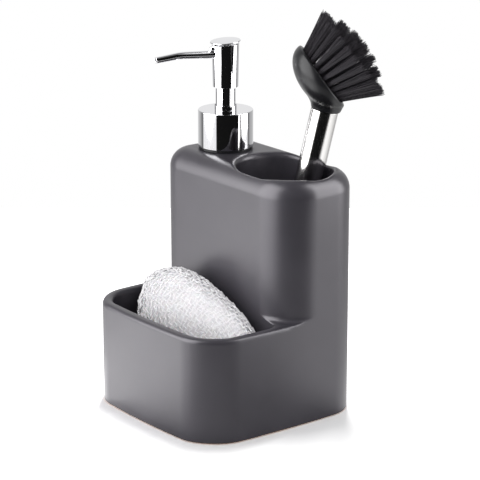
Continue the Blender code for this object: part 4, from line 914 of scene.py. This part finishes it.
def add_brush_head():
    """The black head with its neck."""
    side = HEAD_RADIUS + HEAD_MARGIN
    across = steps_between((-side, side, HEAD_GRID))
    rise = steps_between((-HEAD_DEPTH - HEAD_NECK_REACH, -HEAD_RIM_BAND, HEAD_GRID),
                         (-HEAD_RIM_BAND, 3 * HEAD_RIM_GRID, HEAD_RIM_GRID))
    mesh = field_mesh("brush_head_moulded", brush_head_distance, (across, across, rise))
    add_piece("brush_head_moulded", mesh, ["brush_head"], FACE, BLEND_SMOOTH_DEG)


def add_fibre(points_out, faces_out, root, tip, bend):
    """Add one thin fibre with a light bend between two points."""
    along = (tip - root).normalized()
    side = along.orthogonal().normalized()
    other = along.cross(side)
    sides = FIBRE_SIDES
    first = len(points_out)
    for station in range(FIBRE_STATIONS):
        share = station / (FIBRE_STATIONS - 1)
        centre = root.lerp(tip, share) + bend * (share * share)
        for step in range(sides):
            turn = math.tau * step / sides
            points_out.append(centre + (side * math.cos(turn) + other * math.sin(turn)) * FIBRE_RADIUS)
    for station in range(FIBRE_STATIONS - 1):
        for step in range(sides):
            after = (step + 1) % sides
            low = first + station * sides
            faces_out.append((low + step, low + after, low + sides + after, low + sides + step))
    faces_out.append(tuple(first + step for step in reversed(range(sides))))
    faces_out.append(tuple(first + (FIBRE_STATIONS - 1) * sides + step for step in range(sides)))


def add_bristles():
    """Three groups of tufts, each tuft a flaring bundle of fine fibres."""
    draw = random.Random(TUFT_SEED)
    outer = TUFT_RINGS[-1][0]
    groups = (("bristles_inner", (0, 1)), ("bristles_middle", (2,)), ("bristles_outer", (3,)))
    for name, rings in groups:
        points, faces = [], []
        for ring in rings:
            ring_radius, count = TUFT_RINGS[ring]
            for tuft in range(count):
                angle = math.tau * tuft / count
                outward = Vector((math.cos(angle), math.sin(angle), 0))
                sideways = Vector((-math.sin(angle), math.cos(angle), 0))
                flare = math.radians(TUFT_FLARE_DEG) * ring_radius / outer
                flare += draw.gauss(0, TUFT_FLARE_STRAY)
                yaw = draw.gauss(0, TUFT_YAW_STRAY)
                length = FIBRE_LENGTH + FIBRE_CROWN * (1 - (ring_radius / outer) ** 2)
                heading = (outward * math.sin(flare) + sideways * yaw
                           + Vector((0, 0, math.cos(flare)))).normalized()
                root_middle = outward * ring_radius + Vector((0, 0, -HEAD_RECESS))
                across = heading.cross(sideways)
                for _ in range(TUFT_FIBRES):
                    spot = math.sqrt(draw.random())
                    turn = math.tau * draw.random()
                    offset = outward * (spot * math.cos(turn)) + sideways * (spot * math.sin(turn))
                    root = root_middle + offset * TUFT_ROOT
                    own_length = length * (1 + draw.uniform(*FIBRE_LENGTH_SPREAD))
                    stray = Vector((draw.gauss(0, 1), draw.gauss(0, 1), 0)) * FIBRE_STRAY
                    spread_out = across * (-spot * math.cos(turn)) + sideways * (spot * math.sin(turn))
                    tip = root_middle + spread_out * TUFT_TIP + heading * own_length + stray
                    bend = offset * draw.uniform(*FIBRE_BEND) + stray
                    add_fibre(points, faces, root, tip, bend)
        mesh = bpy.data.meshes.new(name + "_fibres")
        mesh.from_pydata([tuple(point) for point in points], [], faces)
        add_piece(name + "_fibres", mesh, [name], FACE, BLEND_SMOOTH_DEG)


# Sponge and net

def pad_point(u, v, half):
    """A point of the cushion form: u runs round the length axis, v from end to end."""
    def power(value):
        return math.copysign(abs(value) ** (2 / SPONGE_POWER), value)

    return Vector((half.x * power(math.sin(v)), half.y * power(math.cos(v)) * power(math.cos(u)),
                   half.z * power(math.cos(v)) * power(math.sin(u))))


def sponge_matrix():
    """Where the sponge leans in the tray, as the CAD part sets it."""
    turn = Euler((math.radians(SPONGE_LEAN_DEG), math.radians(SPONGE_TILT_DEG),
                  math.radians(SPONGE_TURN_DEG))).to_matrix()
    steps = SPONGE_STEPS
    outline = [turn @ pad_point(math.tau * a / steps, math.pi * b / steps - math.pi / 2, SPONGE_HALF)
               for a in range(steps) for b in range(steps + 1)]
    back = max(point.y for point in outline)
    low = min(point.z for point in outline)
    place = Vector((SPONGE_CENTRE_X, TOWER_FRONT_Y - SPONGE_BACK_GAP - back,
                    FLOOR_TOP + SEAT_GAP - low))
    return Matrix.Translation(place) @ turn.to_4x4()


def sponge_point(u, v, inset):
    """A point of the soft pad, with its slack folds, drawn in by an inset."""
    half = SPONGE_HALF - Vector((inset, inset, inset))
    point = pad_point(u, v, half)
    lump = 0.5 * math.sin(3 * u + 1.1) * math.cos(2.3 * v + 0.4) + 0.5 * math.sin(2 * u - 5 * v)
    return point * (1 - SPONGE_SLACK_SHARE * (1 + lump))


def hexagons(inset):
    """A honeycomb wrapped round the pad: its points and its six-sided cells."""
    around = 2 * round(math.pi * (SPONGE_HALF.y + SPONGE_HALF.z) / 2 / NET_CELL * NET_ROUND_SHARE)
    line = [sponge_point(NET_MEASURED_AT, math.pi * (step / NET_STEPS - 0.5), inset)
            for step in range(NET_STEPS + 1)]
    lengths = [0.0]
    for first, second in zip(line, line[1:]):
        lengths.append(lengths[-1] + (second - first).length)
    rows = round(lengths[-1] / (NET_CELL * NET_ROW_SHARE))
    bm = bmesh.new()
    grid = {}
    draw = random.Random(NET_SEED)

    def corner(row, column):
        key = (row, column % (2 * around))
        if key not in grid:
            slack = Vector((draw.gauss(0, 1), draw.gauss(0, 1), draw.gauss(0, 1))) * NET_SLACK / 2
            kink = NET_KINK_SHARE if (row + column) % 2 else -NET_KINK_SHARE
            along = min(max((row + kink) / rows, 0), 1)
            target = NET_END_SHARE + along * (1 - 2 * NET_END_SHARE)
            place = np.interp(target * lengths[-1], lengths, range(NET_STEPS + 1)) / NET_STEPS
            v = math.pi * (place - 0.5)
            spot = sponge_point(math.pi * column / around, v, inset + NET_SLACK)
            grid[key] = bm.verts.new(spot + slack)
        return grid[key]

    for row in range(rows):
        for column in range(row % 2, 2 * around, 2):
            bm.faces.new((corner(row, column), corner(row, column + 1), corner(row, column + 2),
                          corner(row + 1, column + 2), corner(row + 1, column + 1), corner(row + 1, column)))
    return bm


def add_sponge():
    """The pad, pillowed in every cell, and the knitted net stretched over it."""
    place = sponge_matrix()
    bm = hexagons(PAD_BELOW_NET)
    for end in (min, max):
        edge_x = end(vertex.co.x for vertex in bm.verts)
        ring = [edge for edge in bm.edges if edge.is_boundary
                and abs(edge.verts[0].co.x - edge_x) < 2 * NET_CELL]
        bmesh.ops.holes_fill(bm, edges=ring)
    cells = [face for face in bm.faces if len(face.verts) == 6]
    bmesh.ops.recalc_face_normals(bm, faces=bm.faces)
    draw = random.Random(PAD_SEED)
    for made in bmesh.ops.poke(bm, faces=cells)["verts"]:
        made.co += made.normal * draw.uniform(*PAD_PILLOW)
    pad = add_piece("sponge_pad", bm, ["sponge_core"], place, SOFT_SMOOTH_DEG)
    smooth = pad.modifiers.new("soft", "SUBSURF")
    smooth.levels = 1
    smooth.render_levels = 1

    net = add_piece("sponge_net_knitted", hexagons(0.0), ["sponge_net"], place, SOFT_SMOOTH_DEG)
    strands = net.modifiers.new("strands", "WIREFRAME")
    strands.thickness = NET_STRAND
    strands.offset = -1
    strands.use_even_offset = False
    strands.use_boundary = True


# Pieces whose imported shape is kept

def dress_kept_nodes():
    """Give each CAD node that stays shown its finished material."""
    for name, piece in frame["nodes"].items():
        if piece.hide_render:
            continue
        piece.data.materials.clear()
        piece.data.materials.append(MATERIALS[SLOT_OF[name]])


# Stage, light and camera

def direction(azimuth_deg, elevation_deg):
    """Unit vector from the object to a place seen at an azimuth and an elevation."""
    azimuth = math.radians(azimuth_deg)
    elevation = math.radians(elevation_deg)
    return Vector((math.sin(azimuth) * math.cos(elevation), -math.cos(azimuth) * math.cos(elevation),
                   math.sin(elevation)))


def azimuth_share(owner, vector, to_right, to_camera, shift=(0, 0, 0)):
    """A vector's turn from the camera's side, from 0 to 1 over a full circle."""
    moved = node(owner, "ShaderNodeVectorMath", "ADD")
    link(owner, vector, moved.inputs[0])
    moved.inputs[1].default_value = shift
    turn = node(owner, "ShaderNodeMath", "ARCTAN2")
    for socket, axis in zip(turn.inputs, (to_right, to_camera)):
        along = node(owner, "ShaderNodeVectorMath", "DOT_PRODUCT")
        along.inputs[1].default_value = axis
        link(owner, moved.outputs["Vector"], along.inputs[0])
        link(owner, along.outputs["Value"], socket)
    return spread(owner, turn.outputs["Value"], 0, 1, -math.pi, math.pi)


def azimuth_ramp(owner, share, levels):
    """A brightness that follows the turn, from (degrees, level) pairs; the first two are the ends."""
    ramp = node(owner, "ShaderNodeValToRGB")
    link(owner, share, ramp.inputs["Fac"])
    stops = ramp.color_ramp.elements
    for index, (azimuth, level) in enumerate(levels):
        place = (azimuth + 180) / 360
        stop = stops[index] if index < 2 else stops.new(place)
        stop.position = place
        stop.color = (level, level, level, 1)
    return ramp.outputs["Color"]


def add_floor():
    """A white table that ends before the camera and keeps the object's soft shadow; the brightness that
    reflections see on it is painted light, set by azimuth round the object.
    """
    mesh = bpy.data.meshes.new("floor")
    mesh.from_pydata([(-1, -1, 0), (1, -1, 0), (1, 1, 0), (-1, 1, 0)], [], [(0, 1, 2, 3)])
    floor = bpy.data.objects.new("floor", mesh)
    bpy.context.scene.collection.objects.link(floor)
    floor.scale = FLOOR_HALF
    floor.rotation_euler = (0, 0, math.radians(CAMERA_AZIMUTH_DEG))
    floor.location = direction(CAMERA_AZIMUTH_DEG, 0) * (FLOOR_FRONT - FLOOR_HALF.y)
    floor.location.z = -FLOOR_DROP
    floor.visible_diffuse = False
    white = bpy.data.materials.new("floor_white")
    white.use_nodes = True
    white.node_tree.nodes.clear()
    diffuse = node(white, "ShaderNodeBsdfDiffuse")
    path = node(white, "ShaderNodeLightPath")
    place = node(white, "ShaderNodeTexCoord")
    turn = azimuth_share(white, place.outputs["Object"], (FLOOR_HALF.x, 0, 0), (0, -FLOOR_HALF.y, 0),
                         (0, FLOOR_HALF.y - FLOOR_FRONT, 0))
    # Painted light for reflections: their floor level follows the azimuth ramp, while the camera sees one even
    # level.
    level = two_values(white, path.outputs["Is Camera Ray"], azimuth_ramp(white, turn, FLOOR_PAINTED_LIGHT_IN_MIRRORS),
                       FLOOR_TO_CAMERA)
    link(white, level, diffuse.inputs["Color"])
    link(white, diffuse.outputs["BSDF"], node(white, "ShaderNodeOutputMaterial").inputs["Surface"])
    mesh.materials.append(white)
    return floor


def add_softbox(name, azimuth_deg, elevation_deg, distance, width, height, radiance, in_mirrors=True,
                on_matt=True):
    """A large soft lamp that faces the pump's axis, given by the brightness that it shows."""
    lamp = bpy.data.lights.new(name, "AREA")
    lamp.shape = "RECTANGLE"
    lamp.size = width
    lamp.size_y = height
    lamp.energy = radiance * width * height * math.pi
    box = bpy.data.objects.new(name, lamp)
    bpy.context.scene.collection.objects.link(box)
    towards = direction(azimuth_deg, elevation_deg)
    box.location = Vector((PUMP_PLACE.x, PUMP_PLACE.y, SOFTBOX_MIDDLE)) + towards * distance
    box.rotation_euler = towards.to_track_quat("Z", "Y").to_euler()
    box.visible_camera = False
    box.visible_glossy = in_mirrors
    box.visible_diffuse = on_matt
    return box


def add_world():
    """White to the camera; in mirrors a pale sweep behind and a dark room on the camera's side."""
    world = bpy.data.worlds.new("studio")
    bpy.context.scene.world = world
    world.use_nodes = True
    world.node_tree.nodes.clear()
    background = node(world, "ShaderNodeBackground", Color=(1, 1, 1, 1))
    link(world, background.outputs["Background"], node(world, "ShaderNodeOutputWorld").inputs["Surface"])
    path = node(world, "ShaderNodeLightPath")
    towards = node(world, "ShaderNodeTexCoord").outputs["Generated"]
    to_right = direction(CAMERA_AZIMUTH_DEG + 90, 0)
    turn = azimuth_share(world, towards, to_right, direction(CAMERA_AZIMUTH_DEG, 0))
    height = node(world, "ShaderNodeSeparateXYZ")
    link(world, towards, height.inputs["Vector"])
    start, end = (math.sin(math.radians(angle)) for angle in CEILING_DEG)
    ceiling = spread(world, height.outputs["Z"], 1, CEILING_IN_MIRRORS, start, end, "SMOOTHSTEP")
    room = node(world, "ShaderNodeMath", "MULTIPLY")
    link(world, azimuth_ramp(world, turn, ROOM_IN_MIRRORS), room.inputs[0])
    link(world, ceiling, room.inputs[1])
    for_mirrors = two_values(world, path.outputs["Is Glossy Ray"], ROOM_FILL, room.outputs["Value"])
    for_camera = two_values(world, path.outputs["Is Camera Ray"], for_mirrors, 1.0)
    link(world, for_camera, background.inputs["Strength"])


def add_lights(floor):
    """A wide softbox on the left, a narrow one on the right, fill for matt surfaces and a table lamp."""
    table = bpy.data.collections.new("table")
    table.objects.link(floor)
    apart = bpy.data.collections.new("all_but_table")
    apart.objects.link(floor)
    apart.collection_objects[0].light_linking.link_state = "EXCLUDE"
    for name, start, end, radiance, in_mirrors, on_matt in SOFTBOXES:
        middle = CAMERA_AZIMUTH_DEG + (start + end) / 2
        width = 2 * SOFTBOX_DISTANCE * math.tan(math.radians((end - start) / 2))
        box = add_softbox(name, middle, 0, SOFTBOX_DISTANCE, width, SOFTBOX_HEIGHT, radiance, in_mirrors,
                          on_matt)
        box.light_linking.receiver_collection = apart
    lamp = add_softbox("table_lamp", CAMERA_AZIMUTH_DEG + TABLE_LAMP_TURN, TABLE_LAMP_RISE,
                       TABLE_LAMP_DISTANCE, TABLE_LAMP_WIDTH, TABLE_LAMP_LENGTH, TABLE_LAMP, False)
    lamp.light_linking.receiver_collection = table


def add_camera():
    """The photograph's viewpoint."""
    data = bpy.data.cameras.new("camera")
    data.lens = CAMERA_LENS_MM
    data.sensor_width = SENSOR_MM
    data.clip_start = CLIP_START
    data.clip_end = CLIP_END
    camera = bpy.data.objects.new("camera", data)
    bpy.context.scene.collection.objects.link(camera)
    back = direction(CAMERA_AZIMUTH_DEG, CAMERA_ELEVATION_DEG)
    camera.location = CAMERA_TARGET + back * CAMERA_DISTANCE
    camera.rotation_euler = back.to_track_quat("Z", "Y").to_euler()
    bpy.context.scene.camera = camera


add_ceramic_body()
add_turned_pieces()
add_spout(add_pump_head())
add_return_spring()
add_brush_head()
add_bristles()
add_sponge()
dress_kept_nodes()
table_top = add_floor()
add_world()
add_lights(table_top)
add_camera()
bpy.context.scene.view_settings.view_transform = "Standard"
